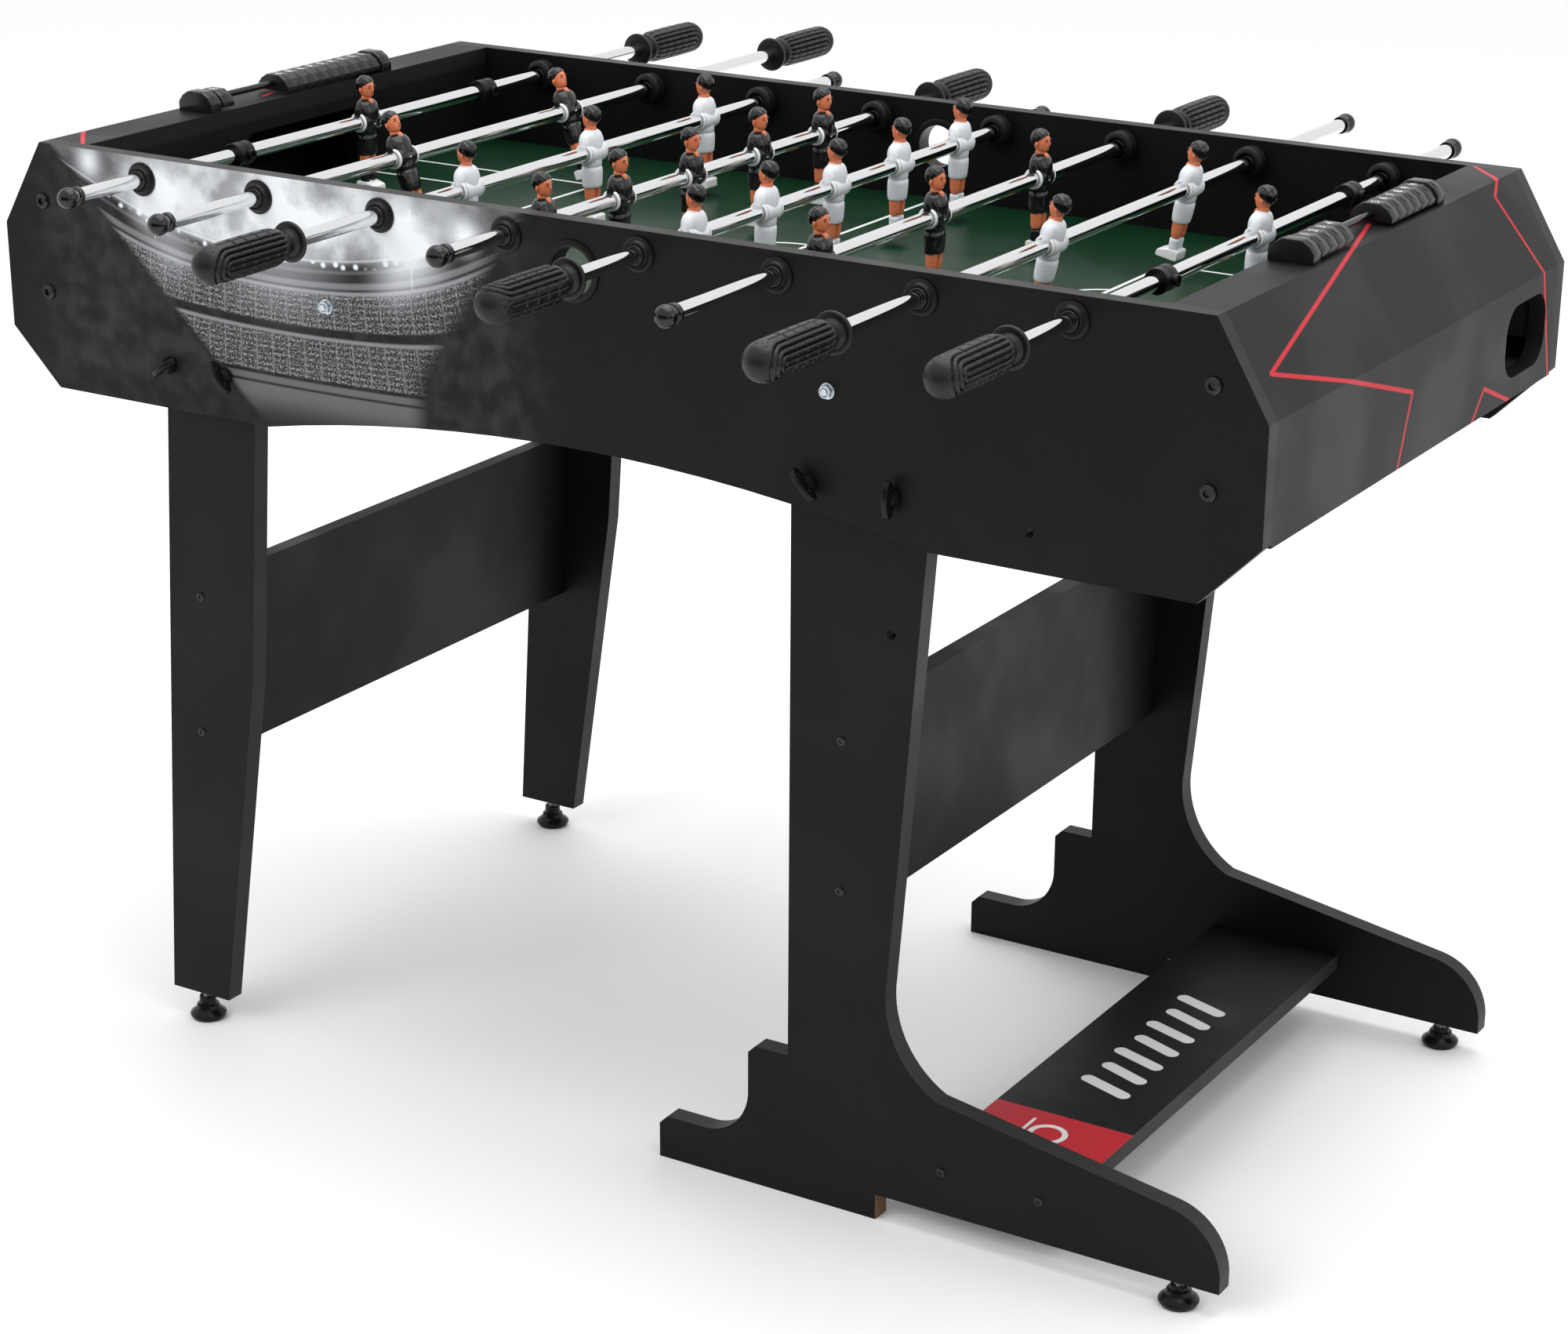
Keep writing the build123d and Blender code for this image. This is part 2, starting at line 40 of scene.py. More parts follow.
import bmesh
import bpy
from bpy.props import FloatProperty, FloatVectorProperty, PointerProperty
from bpy.types import Operator, Panel, PropertyGroup
from mathutils import Matrix, Vector

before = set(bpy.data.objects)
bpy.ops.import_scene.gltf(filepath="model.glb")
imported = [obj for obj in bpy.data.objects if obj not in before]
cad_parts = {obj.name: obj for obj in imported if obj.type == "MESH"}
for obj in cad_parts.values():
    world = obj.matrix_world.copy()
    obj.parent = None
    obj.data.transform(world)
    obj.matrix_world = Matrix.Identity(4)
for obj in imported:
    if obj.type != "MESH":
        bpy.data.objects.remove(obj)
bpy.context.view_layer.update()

# Shapes are built in millimetres in the table's own frame and scaled to metres when a piece is finished.
MM = 0.001
DARK_RODS = (1, 2, 4, 6)
FIGURES = {1: 1, 2: 2, 3: 3, 4: 5, 5: 5, 6: 3, 7: 2, 8: 1}
REST_LEAN = {1: 0.0, 2: -20.0, 3: 0.0, 4: 0.0, 5: 3.0, 6: 0.0, 7: 12.0, 8: 6.0}
GRIP_LENGTH = 112.0
HALF_WIDTH = 305.0
FIGURE_HALF = 13.0
COLLAR_AT = 181.0
LEG_FACE = 289.5
WING_HEIGHT = 638.0
TIE_HEIGHT, TIE_PLACES = 713.5, {-1: -250.0, 1: 237.0}
BOLT_PLACE, BOLT_HEIGHTS = 560.0, (765.5, 685.0)
CAMERA_PLACE, CAMERA_YAW, CAMERA_PITCH, CAMERA_ROLL = (1.57305, -2.58497, 1.42819), 0.5372, -0.3726, 0.0099


def middle(node):
    low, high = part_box(node)
    return (low + high) / (2 * MM)


MID_Y = (middle("side_panel_near").y + middle("side_panel_far").y) / 2


def colour_prop(name, text, value):
    return FloatVectorProperty(name=name, description=text, subtype="COLOR", size=3, min=0, max=1,
        default=value)


def length_prop(name, text, value):
    return FloatProperty(name=name, description=text, unit="LENGTH", min=0, default=value)


# ---------------------------------------------------------------- settings


class FoosballBoardLook(PropertyGroup):
    laminate: colour_prop("Laminate", "Black laminate on panels and legs", (0.0040, 0.0040, 0.0043))
    end_laminate: colour_prop("End laminate", "Charcoal laminate on the end boards",
        (0.0062, 0.0062, 0.0066))
    edging: colour_prop("Edging", "Grey band glued on board edges", (0.0235, 0.0233, 0.0230))
    fibreboard: colour_prop("Fibreboard", "Bare board where no band is glued", (0.1500, 0.0850, 0.0500))
    stripe: colour_prop("Stripe", "Thin lines printed on the end boards", (0.5000, 0.0180, 0.0300))
    stripe_width: length_prop("Stripe width", "Width of the end boards' lines", 0.0036)
    field: colour_prop("Field", "Printed playing field", (0.0020, 0.0270, 0.0095))
    field_line: colour_prop("Field lines", "Markings on the field", (0.7600, 0.8000, 0.7700))
    field_line_width: length_prop("Field line width", "Width of the field's markings", 0.0040)


class FoosballFigureLook(PropertyGroup):
    dark_kit: colour_prop("Dark kit", "Shirt, shorts and socks of one team", (0.0080, 0.0080, 0.0090))
    light_kit: colour_prop("Light kit", "Shirt, shorts and socks of the other team",
        (0.7600, 0.7900, 0.8300))
    skin: colour_prop("Skin", "Head and thighs", (0.7200, 0.2050, 0.0900))
    hair: colour_prop("Hair", "Hair of both teams", (0.0060, 0.0060, 0.0065))


class FoosballGripLook(PropertyGroup):
    rubber: colour_prop("Rubber", "Moulded grip", (0.0055, 0.0055, 0.0060))
    rib_pitch: length_prop("Rib pitch", "Distance between the side ribs", 0.0050)
    rib_depth: length_prop("Rib depth", "Depth between the side ribs", 0.0026)
    groove_depth: length_prop("Groove depth", "Depth of the cross grooves in the pads", 0.0015)


class FoosballFittingLook(PropertyGroup):
    plastic: colour_prop("Plastic", "Black moulded fittings", (0.0045, 0.0045, 0.0050))
    chrome: colour_prop("Chrome", "Polished rods", (0.7700, 0.7750, 0.7900))
    zinc: colour_prop("Zinc", "Nuts and studs", (0.6200, 0.6700, 0.7100))
    digit: colour_prop("Digits", "Numbers on the score beads", (0.7800, 0.7800, 0.7800))


class FoosballStudioLook(PropertyGroup):
    floor: colour_prop("Floor", "Pale plain floor", (0.9500, 0.9500, 0.9500))
    sky: FloatProperty(name="Sky", description="Strength of the surrounding light", min=0, default=1.0)
    key: FloatProperty(name="Key", description="Power of the front softbox", unit="POWER", min=0,
        default=60.0)
    top: FloatProperty(name="Top", description="Power of the overhead softbox", unit="POWER", min=0,
        default=55.0)


# ---------------------------------------------------------------- node helpers


def fill(tree, node, sockets):
    """Sets a node's inputs, by name or number, to values or to other nodes' outputs."""
    for key, value in sockets.items():
        if isinstance(value, bpy.types.NodeSocket):
            tree.links.new(value, node.inputs[key])
        else:
            node.inputs[key].default_value = value


def put(tree, kind, sockets=None, **settings):
    """Adds a shader node with its settings made and its inputs filled in."""
    node = tree.nodes.new(f"ShaderNode{kind}")
    for key, value in settings.items():
        setattr(node, key, value)
    fill(tree, node, sockets or {})
    return node


def calc(tree, operation, *values, clamp=False):
    node = put(tree, "Math", dict(enumerate(values)), operation=operation, use_clamp=clamp)
    return node.outputs[0]


def blend(tree, share, a, b, mode="MIX"):
    a = (*a, 1.0) if isinstance(a, (tuple, list)) and len(a) == 3 else a
    b = (*b, 1.0) if isinstance(b, (tuple, list)) and len(b) == 3 else b
    return put(tree, "Mix", {0: share, 6: a, 7: b}, data_type="RGBA", blend_type=mode).outputs[2]


def ramp(tree, value, start, end, low=0.0, high=1.0):
    sockets = {"Value": value, "From Min": start, "From Max": end, "To Min": low, "To Max": high}
    return put(tree, "MapRange", sockets, interpolation_type="SMOOTHSTEP").outputs[0]


def new_group(name, inputs, outputs):
    """An empty shader group with named sockets: its tree, its input sockets and its output node."""
    tree = bpy.data.node_groups.new(name, "ShaderNodeTree")
    for label, kind, value in inputs:
        tree.interface.new_socket(label, in_out="INPUT", socket_type=kind).default_value = value
    for label, kind in outputs:
        tree.interface.new_socket(label, in_out="OUTPUT", socket_type=kind)
    return tree, tree.nodes.new("NodeGroupInput").outputs, tree.nodes.new("NodeGroupOutput")


def fine_grain():
    """Speckle and height of a laminated or moulded surface."""
    if "Fine grain" in bpy.data.node_groups:
        return bpy.data.node_groups["Fine grain"]
    floating = "NodeSocketFloat"
    tree, given, result = new_group(
        "Fine grain", [("Scale", floating, 900.0)], [("Tone", floating), ("Height", floating)]
    )
    place = put(tree, "TexCoord").outputs["Object"]
    grain = put(tree, "TexNoise", {"Vector": place, "Scale": given["Scale"], "Detail": 2.0}).outputs[0]
    coarse = calc(tree, "MULTIPLY", given["Scale"], 0.22)
    cloud = put(tree, "TexNoise", {"Vector": place, "Scale": coarse, "Detail": 3.0}).outputs[0]
    both = calc(tree, "ADD", calc(tree, "MULTIPLY", grain, 0.6), calc(tree, "MULTIPLY", cloud, 0.4))
    tree.links.new(ramp(tree, both, 0.36, 0.66), result.inputs["Tone"])
    tree.links.new(both, result.inputs["Height"])
    return tree


def handling():
    """Broad patches where hands have polished a surface or dust has settled."""
    if "Handling" in bpy.data.node_groups:
        return bpy.data.node_groups["Handling"]
    floating = "NodeSocketFloat"
    tree, given, result = new_group(
        "Handling", [("Scale", floating, 9.0)], [("Rub", floating), ("Dust", floating)]
    )
    place = put(tree, "TexCoord").outputs["Object"]
    broad = put(tree, "TexNoise", {"Vector": place, "Scale": given["Scale"], "Detail": 4.0}).outputs[0]
    flecks = put(tree, "TexNoise", {"Vector": place, "Scale": 420.0, "Detail": 1.0}).outputs[0]
    up = put(tree, "SeparateXYZ", {0: put(tree, "NewGeometry").outputs["Normal"]}).outputs[2]
    dust = calc(tree, "MULTIPLY", ramp(tree, flecks, 0.66, 0.80), ramp(tree, up, 0.3, 1.0))
    tree.links.new(ramp(tree, broad, 0.35, 0.70), result.inputs["Rub"])
    tree.links.new(dust, result.inputs["Dust"])
    return tree


def edge_band():
    """Mask of the faces that run along a board's thickness."""
    if "Edge band" in bpy.data.node_groups:
        return bpy.data.node_groups["Edge band"]
    tree, given, result = new_group(
        "Edge band", [("Across", "NodeSocketVector", (0.0, 1.0, 0.0))], [("Mask", "NodeSocketFloat")]
    )
    normal = put(tree, "NewGeometry").outputs["True Normal"]
    facing = put(tree, "VectorMath", {0: normal, 1: given["Across"]},
        operation="DOT_PRODUCT").outputs["Value"]
    tree.links.new(ramp(tree, calc(tree, "ABSOLUTE", facing), 0.6, 0.4), result.inputs["Mask"])
    return tree


def printed_line():
    """Mask of a straight printed line between two points of a flat pattern."""
    if "Printed line" in bpy.data.node_groups:
        return bpy.data.node_groups["Printed line"]
    vector = "NodeSocketVector"
    points = [(label, vector, (0.0, 0.0, 0.0)) for label in ("Point", "From", "To")]
    tree, given, result = new_group(
        "Printed line", points + [("Width", "NodeSocketFloat", 0.004)], [("Mask", "NodeSocketFloat")]
    )

    def vec(operation, a, b=None, output=0):
        return put(tree, "VectorMath", {0: a} if b is None else {0: a, 1: b},
            operation=operation).outputs[output]

    reach = vec("SUBTRACT", given["Point"], given["From"])
    line = vec("SUBTRACT", given["To"], given["From"])
    along = calc(
        tree, "DIVIDE", vec("DOT_PRODUCT", reach, line, "Value"), vec("DOT_PRODUCT", line, line, "Value"),
        clamp=True
    )
    nearest = put(tree, "VectorMath", {0: line, "Scale": along}, operation="SCALE").outputs[0]
    away = vec("LENGTH", vec("SUBTRACT", reach, nearest), output="Value")
    half = calc(tree, "MULTIPLY", given["Width"], 0.5)
    sockets = {"Value": away, "From Min": calc(tree, "ADD", half, 0.0003),
        "From Max": calc(tree, "SUBTRACT", half, 0.0003)}
    tree.links.new(put(tree, "MapRange", sockets).outputs[0], result.inputs["Mask"])
    return tree


def segments(tree, point, lines, width):
    """Union of several printed lines, each given by its two flat ends in metres."""
    mask = None
    for start, end in lines:
        one = group_node(tree, printed_line(), Point=point, From=(*start, 0.0), To=(*end, 0.0),
            Width=width)[0]
        mask = one if mask is None else calc(tree, "MAXIMUM", mask, one)
    return mask


def circle_line(tree, point, centre, radius, width):
    away = put(tree, "VectorMath", {0: point, 1: (*centre, 0.0)}, operation="DISTANCE").outputs["Value"]
    off = calc(tree, "ABSOLUTE", calc(tree, "SUBTRACT", away, radius))
    return ramp(tree, off, width / 2 + 0.0003, width / 2 - 0.0003)


def group_node(tree, group, **values):
    """Adds a shared node group with its inputs filled in and returns its outputs."""
    node = put(tree, "Group", node_tree=group)
    fill(tree, node, values)
    return node.outputs


def surface(name, colour, roughness, grain=900.0, bump=0.05, spread=0.08, dust=0.0, mottle=0.15, **sockets):
    """Material with shared grain, handling marks and a fine bump, and its tree and shader."""
    if name in bpy.data.materials:
        return bpy.data.materials[name], None, None
    material = bpy.data.materials.new(name)
    material.use_nodes = True
    tree = material.node_tree
    shader = tree.nodes["Principled BSDF"]
    for key, value in sockets.items():
        shader.inputs[key.replace("_", " ")].default_value = value
    speckle = group_node(tree, fine_grain(), Scale=grain)
    marks = group_node(tree, handling(), Scale=9.0)
    gain = ramp(tree, speckle["Tone"], 0.0, 1.0, 1.0 - mottle, 1.0 + mottle)
    grey = put(tree, "CombineColor", {i: gain for i in range(3)}).outputs[0]
    tone = blend(tree, 1.0, tuple(colour), grey, "MULTIPLY")
    dusty = blend(tree, calc(tree, "MULTIPLY", marks["Dust"], dust), tone, (0.35, 0.35, 0.35))
    tree.links.new(dusty, shader.inputs["Base Color"])
    rough = ramp(tree, marks["Rub"], 0.0, 1.0, roughness + spread / 2, roughness - spread / 2)
    tree.links.new(rough, shader.inputs["Roughness"])
    relief = put(tree, "Bump", {"Height": speckle["Height"], "Strength": bump, "Distance": 0.0004})
    tree.links.new(relief.outputs[0], shader.inputs["Normal"])
    return material, tree, shader


def base_of(shader):
    return shader.inputs["Base Color"].links[0].from_socket


def laminate(name, colour, across, edging=None):
    """Laminated board with a paler band on the edges that run along its thickness."""
    look = bpy.context.scene.foosball_boards
    material, tree, shader = surface(
        name, colour, 0.47, grain=1500.0, bump=0.22, spread=0.12, dust=0.04, Specular_IOR_Level=0.17
    )
    band = group_node(tree, edge_band(), Across=across)["Mask"]
    edged = blend(tree, band, base_of(shader), tuple(edging or look.edging))
    tree.links.new(edged, shader.inputs["Base Color"])
    return material, tree, shader


def paint(material, *nodes):
    """Gives CAD nodes a material."""
    for name in nodes:
        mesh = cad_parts[name].data
        mesh.materials.clear()
        mesh.materials.append(material)


def coordinates(tree):
    place = put(tree, "TexCoord").outputs["Object"]
    return put(tree, "SeparateXYZ", {0: place}).outputs


# ---------------------------------------------------------------- shape helpers


def lathe(points, steps=48):
    """Turns a profile of (radius, distance) a full circle round +Z."""
    part = bmesh.new()
    corners = [part.verts.new((radius, 0.0, along)) for radius, along in points]
    rim = [part.edges.new(pair) for pair in zip(corners, corners[1:])]
    bmesh.ops.spin(
        part,
        geom=corners + rim,
        cent=(0, 0, 0),
        axis=(0, 0, 1),
        angle=2 * math.pi,
        steps=steps,
        use_merge=True,
    )
    return part


def slab(points, thick):
    """Flat outline in XY, drawn out from -thick/2 to thick/2 along Z."""
    part = bmesh.new()
    face = part.faces.new([part.verts.new((x, y, -thick / 2)) for x, y in points])
    grown = bmesh.ops.extrude_face_region(part, geom=[face])["geom"]
    bmesh.ops.translate(part, vec=(0, 0, thick),
        verts=[g for g in grown if isinstance(g, bmesh.types.BMVert)])
    return part


def round_off(part, width, segments=2, angle=0.6):
    """Bevels the edges that turn by more than the angle."""
    bmesh.ops.recalc_face_normals(part, faces=part.faces)
    sharp = [e for e in part.edges if e.is_manifold and e.calc_face_angle(0) > angle]
    bmesh.ops.bevel(
        part,
        geom=sharp,
        offset=width,
        offset_type="OFFSET",
        affect="EDGES",
        segments=segments,
        profile=0.5,
        material=-1,
        clamp_overlap=True,
    )
    return part


def oval(half_x, half_y, half_z, at=(0, 0, 0), across=16, rows=10):
    part = bmesh.new()
    bmesh.ops.create_uvsphere(part, u_segments=across, v_segments=rows, radius=1.0)
    part.transform(Matrix.Translation(at) @ Matrix.Diagonal((half_x, half_y, half_z, 1.0)))
    return part


def loft(rings, segments=16):
    """Skin over a stack of level ovals, each (x, y, z, half depth, half width), closed at both ends."""
    part = bmesh.new()
    loops = []
    for x, y, z, deep, wide in rings:
        ring = bmesh.ops.create_circle(part, segments=segments, radius=1.0)["verts"]
        bmesh.ops.scale(part, vec=(deep, wide, 1.0), verts=ring)
        bmesh.ops.translate(part, vec=(x, y, z), verts=ring)
        loops.append(list({edge for vert in ring for edge in vert.link_edges}))
    for low, high in zip(loops, loops[1:]):
        bmesh.ops.bridge_loops(part, edges=low + high)
    for end in (loops[0], loops[-1]):
        bmesh.ops.contextual_create(part, geom=end)
    return part


def gather(whole, part, slot=0, place=None):
    """Puts a finished part, in one material slot, into the whole piece."""
    bmesh.ops.remove_doubles(part, verts=part.verts, dist=0.002)
    bmesh.ops.recalc_face_normals(part, faces=part.faces)
    for face in part.faces:
        face.material_index = slot
        face.smooth = True
    if place is not None:
        part.transform(place)
    mesh = bpy.data.meshes.new("part")
    part.to_mesh(mesh)
    part.free()
    whole.from_mesh(mesh)
    bpy.data.meshes.remove(mesh)


def aimed(origin, direction, roll=0.0):
    """Places a part so that its own +Z points along direction."""
    turn = Vector((0, 0, 1)).rotation_difference(Vector(direction)).to_matrix().to_4x4()
    return Matrix.Translation(origin) @ turn @ Matrix.Rotation(roll, 4, "Z")


def turned(whole, profile, steps, at, direction, slot=0, roll=0.0):
    """Adds a part turned on the lathe, standing at a point and pointing along a direction."""
    gather(whole, lathe(profile, steps), slot, aimed(at, direction, roll))


def finish_piece(name, whole, materials, body, replaces=(), smooth=0.7, subdivide=0):
    """Scales a piece to metres, makes its object and lets it ride on its body."""
    whole.transform(Matrix.Diagonal((MM, MM, MM, 1.0)))
    mesh = bpy.data.meshes.new(name)
    whole.to_mesh(mesh)
    whole.free()
    for material in materials:
        mesh.materials.append(material)
    mesh.set_sharp_from_angle(angle=smooth)
    piece = bpy.data.objects.new(name, mesh)
    bpy.context.scene.collection.objects.link(piece)
    if subdivide:
        soften = piece.modifiers.new("soften", "SUBSURF")
        soften.levels = soften.render_levels = subdivide
    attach(piece, body)
    if replaces:
        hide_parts(*replaces)
    return piece


def rod_facts(number):
    """x, z of a rod's axis, the side its grip is on, and its tube's two ends."""
    low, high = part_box(f"rod_{number}_tube")
    side = 1 if number in DARK_RODS else -1
    return (low.x + high.x) / (2 * MM), (low.z + high.z) / (2 * MM), side, low.y / MM, high.y / MM


# ---------------------------------------------------------------- finishes


def plastic(name="moulded plastic", roughness=0.36):
    look = bpy.context.scene.foosball_fittings
    return surface(
        name, tuple(look.plastic), roughness, grain=2200.0, bump=0.10, dust=0.05, Specular_IOR_Level=0.2
    )[0]


def glossy(name, colour, roughness=0.16):
    return surface(
        name, tuple(colour), roughness, grain=700.0, bump=0.0, spread=0.04, mottle=0.02,
        Specular_IOR_Level=0.45
    )[0]


def metal(name, colour, roughness):
    """Plated metal whose shine changes a little where it is handled."""
    if name in bpy.data.materials:
        return bpy.data.materials[name]
    material = bpy.data.materials.new(name)
    material.use_nodes = True
    tree = material.node_tree
    shader = tree.nodes["Principled BSDF"]
    shader.inputs["Base Color"].default_value = (*colour, 1.0)
    shader.inputs["Metallic"].default_value = 1.0
    rub = group_node(tree, handling(), Scale=14.0)["Rub"]
    tree.links.new(ramp(tree, rub, 0.0, 1.0, roughness * 1.3, roughness * 0.8), shader.inputs["Roughness"])
    return material


def outward(tree, axis, sign):
    """Mask of the faces that look along one axis of the table."""
    normal = put(tree, "NewGeometry").outputs["True Normal"]
    part = put(tree, "SeparateXYZ", {0: normal}).outputs[axis]
    return ramp(tree, calc(tree, "MULTIPLY", part, sign), 0.45, 0.55)


def stadium(tree, shader):
    """Grey print of a floodlit ground seen between two dark walls, fading into the laminate."""
    x, _, z = coordinates(tree)
    flat = put(tree, "CombineXYZ", {0: x, 1: z}).outputs[0]

    def times(*values):
        return reduce(lambda a, b: calc(tree, "MULTIPLY", a, b), values)

    def total(*values):
        return reduce(lambda a, b: calc(tree, "ADD", a, b), values)

    def noise(scale, detail=3.0):
        return put(tree, "TexNoise", {"Vector": flat, "Scale": scale, "Detail": detail}).outputs[0]

    # Rows of seats sag towards the middle, less so lower down; bowl is the height a row has at its middle.
    off = calc(tree, "ADD", x, 0.30)
    sag = times(calc(tree, "MULTIPLY", off, off), ramp(tree, z, 0.640, 0.790, 0.12, 0.98))
    bowl = calc(tree, "SUBTRACT", z, sag)

    def band(low, high, soft=0.0012):
        return times(ramp(tree, bowl, low - soft, low + soft), ramp(tree, bowl, high + soft, high - soft))

    def glow(centre, radius, power):
        away = put(tree, "VectorMath", {0: flat, 1: (*centre, 0.0)}, operation="DISTANCE").outputs["Value"]
        return calc(tree, "MULTIPLY", calc(tree, "POWER", ramp(tree, away, radius, 0.0), 2.0), power)

    clouds = ramp(tree, noise(22.0, 6.0), 0.32, 0.66, 0.30, 1.0)
    sky = times(ramp(tree, bowl, 0.744, 0.754), clouds,
        ramp(tree, calc(tree, "ABSOLUTE", off), 0.30, 0.04, 0.10, 1.0))
    crowd = ramp(tree, noise(560.0, 1.0), 0.40, 0.66, 0.02, 0.42)
    steps = ramp(tree, calc(tree, "SINE", calc(tree, "MULTIPLY", bowl, 1250.0)), -0.6, 0.8, 0.45, 1.0)
    stairs = ramp(tree, calc(tree, "SINE", total(times(x, 150.0), times(z, times(off, 320.0)))), 0.93, 0.99,
        0.0, 0.22)
    seats = times(calc(tree, "MAXIMUM", times(crowd, steps), stairs),
        calc(tree, "MAXIMUM", band(0.693, 0.722), band(0.648, 0.683)))
    walls = total(times(band(0.683, 0.686), 0.30), times(band(0.722, 0.725), 0.34),
        times(band(0.639, 0.645), 0.16))
    roof = total(times(band(0.7395, 0.7420), 0.10), times(band(0.7490, 0.7505), 0.40),
        times(band(0.7270, 0.7320), 0.20))
    pitch = times(band(0.560, 0.637), ramp(tree, z, 0.600, 0.637, 0.03, 0.16))
    spot = put(tree, "TexVoronoi", {"Vector": flat, "Scale": 95.0, "Randomness": 0.35}).outputs[0]
    lamps = times(ramp(tree, spot, 0.34, 0.12), band(0.7430, 0.7490))
    lights = total(
        glow((-0.434, 0.782), 0.052, 1.1), glow((-0.160, 0.773), 0.062, 1.1),
        glow((-0.105, 0.790), 0.030, 0.8),
        glow((-0.300, 0.770), 0.120, 0.45), glow((-0.505, 0.806), 0.028, 0.7),
        glow((-0.180, 0.745), 0.050, 0.35),
        glow((-0.415, 0.745), 0.060, 0.30),
    )
    rays = segments(
        tree, flat, [((-0.434, 0.812), (-0.434, 0.748)), ((-0.462, 0.790), (-0.408, 0.773)),
        ((-0.160, 0.806), (-0.160, 0.740)),
                     ((-0.190, 0.780), (-0.128, 0.766))], 0.0010
    )
    view = total(sky, seats, walls, roof, pitch, lamps, lights, times(rays, 0.35))
    drop = calc(tree, "SUBTRACT", 0.816, z)
    left = ramp(tree, calc(tree, "SUBTRACT", x, calc(tree, "MULTIPLY_ADD", drop, 1.05, -0.552)), 0.0, 0.012)
    right = ramp(tree, calc(tree, "ADD", x,
        calc(tree, "MULTIPLY_ADD", calc(tree, "MINIMUM", drop, 0.15), 0.68, 0.040)), 0.0, -0.030)
    plaster = times(ramp(tree, noise(48.0, 6.0), 0.35, 0.70, 0.004, 0.030),
        ramp(tree, calc(tree, "ABSOLUTE", off), 0.30, 0.22))
    amount = calc(tree, "MAXIMUM", times(view, left, right), plaster)
    low_fade = ramp(tree, z, 0.600, 0.630, 0.45, 1.0)
    amount = calc(tree, "MULTIPLY", times(amount, low_fade, outward(tree, 1, -1.0)), 0.92, clamp=True)
    tree.links.new(blend(tree, amount, base_of(shader), (0.80, 0.82, 0.85)), shader.inputs["Base Color"])


def end_lines(tree, shader, kind):
    """Red lines that run over the rail, the slope and the lower board, the same from either end."""
    look = bpy.context.scene.foosball_boards
    x, y, z = coordinates(tree)
    sense = calc(tree, "SIGN", x)
    across = calc(tree, "MULTIPLY", calc(tree, "SUBTRACT", y, MID_Y * MM), sense)
    out = calc(tree, "SUBTRACT", calc(tree, "ABSOLUTE", x), 0.560)
    down = {
        "rail": lambda: out,
        "slope": lambda: calc(tree, "MULTIPLY", out, 1.9437),
        "lower": lambda: calc(tree, "SUBTRACT", 0.82946, z),
    }[kind]()
    flat = put(tree, "CombineXYZ", {0: across, 1: down}).outputs[0]
    lines = [
        ((0.033, -0.0254), (-0.269, 0.0548)),
        ((-0.269, 0.0548), (-0.0287, 0.1258)),
        ((-0.0287, 0.1258), (-0.051, 0.1850)),
        ((0.290, -0.0365), (0.254, -0.0043)),
        ((0.254, -0.0043), (0.2288, 0.0118)),
        ((0.2288, 0.0118), (0.2558, 0.0863)),
        ((0.2558, 0.0863), (0.2858, 0.1830)),
        ((0.1936, 0.1840), (0.1319, 0.1600)),
        ((0.1319, 0.1600), (0.1080, 0.1840)),
    ]
    facing = outward(tree, 2, 1.0) if kind == "rail" else outward(tree, 0, sense)
    mask = calc(tree, "MULTIPLY", segments(tree, flat, lines, look.stripe_width), facing)
    tree.links.new(blend(tree, mask, base_of(shader), tuple(look.stripe)), shader.inputs["Base Color"])


def field_markings(tree, shader):
    look = bpy.context.scene.foosball_boards
    x, y, _ = coordinates(tree)
    flat = put(
        tree,
        "CombineXYZ",
        {0: calc(tree, "ABSOLUTE", x), 1: calc(tree, "ABSOLUTE", calc(tree, "SUBTRACT", y, MID_Y * MM))},
    ).outputs[0]
    width = look.field_line_width
    lines = [
        ((0.0, 0.0), (0.0, 0.290)),
        ((0.298, 0.0), (0.298, 0.162)),
        ((0.298, 0.162), (0.530, 0.162)),
        ((0.407, 0.0), (0.407, 0.097)),
        ((0.407, 0.097), (0.530, 0.097)),
    ]
    mask = segments(tree, flat, lines, width)
    arc = calc(tree, "MULTIPLY", circle_line(tree, flat, (0.322, 0.0), 0.062, width),
        calc(tree, "LESS_THAN", put(tree, "SeparateXYZ", {0: flat}).outputs[0], 0.298))
    mask = calc(tree, "MAXIMUM", mask, calc(tree, "MAXIMUM", arc,
        circle_line(tree, flat, (0.0, 0.0), 0.060, width)))
    tree.links.new(blend(tree, mask, base_of(shader), tuple(look.field_line)), shader.inputs["Base Color"])


# ---------------------------------------------------------------- operators


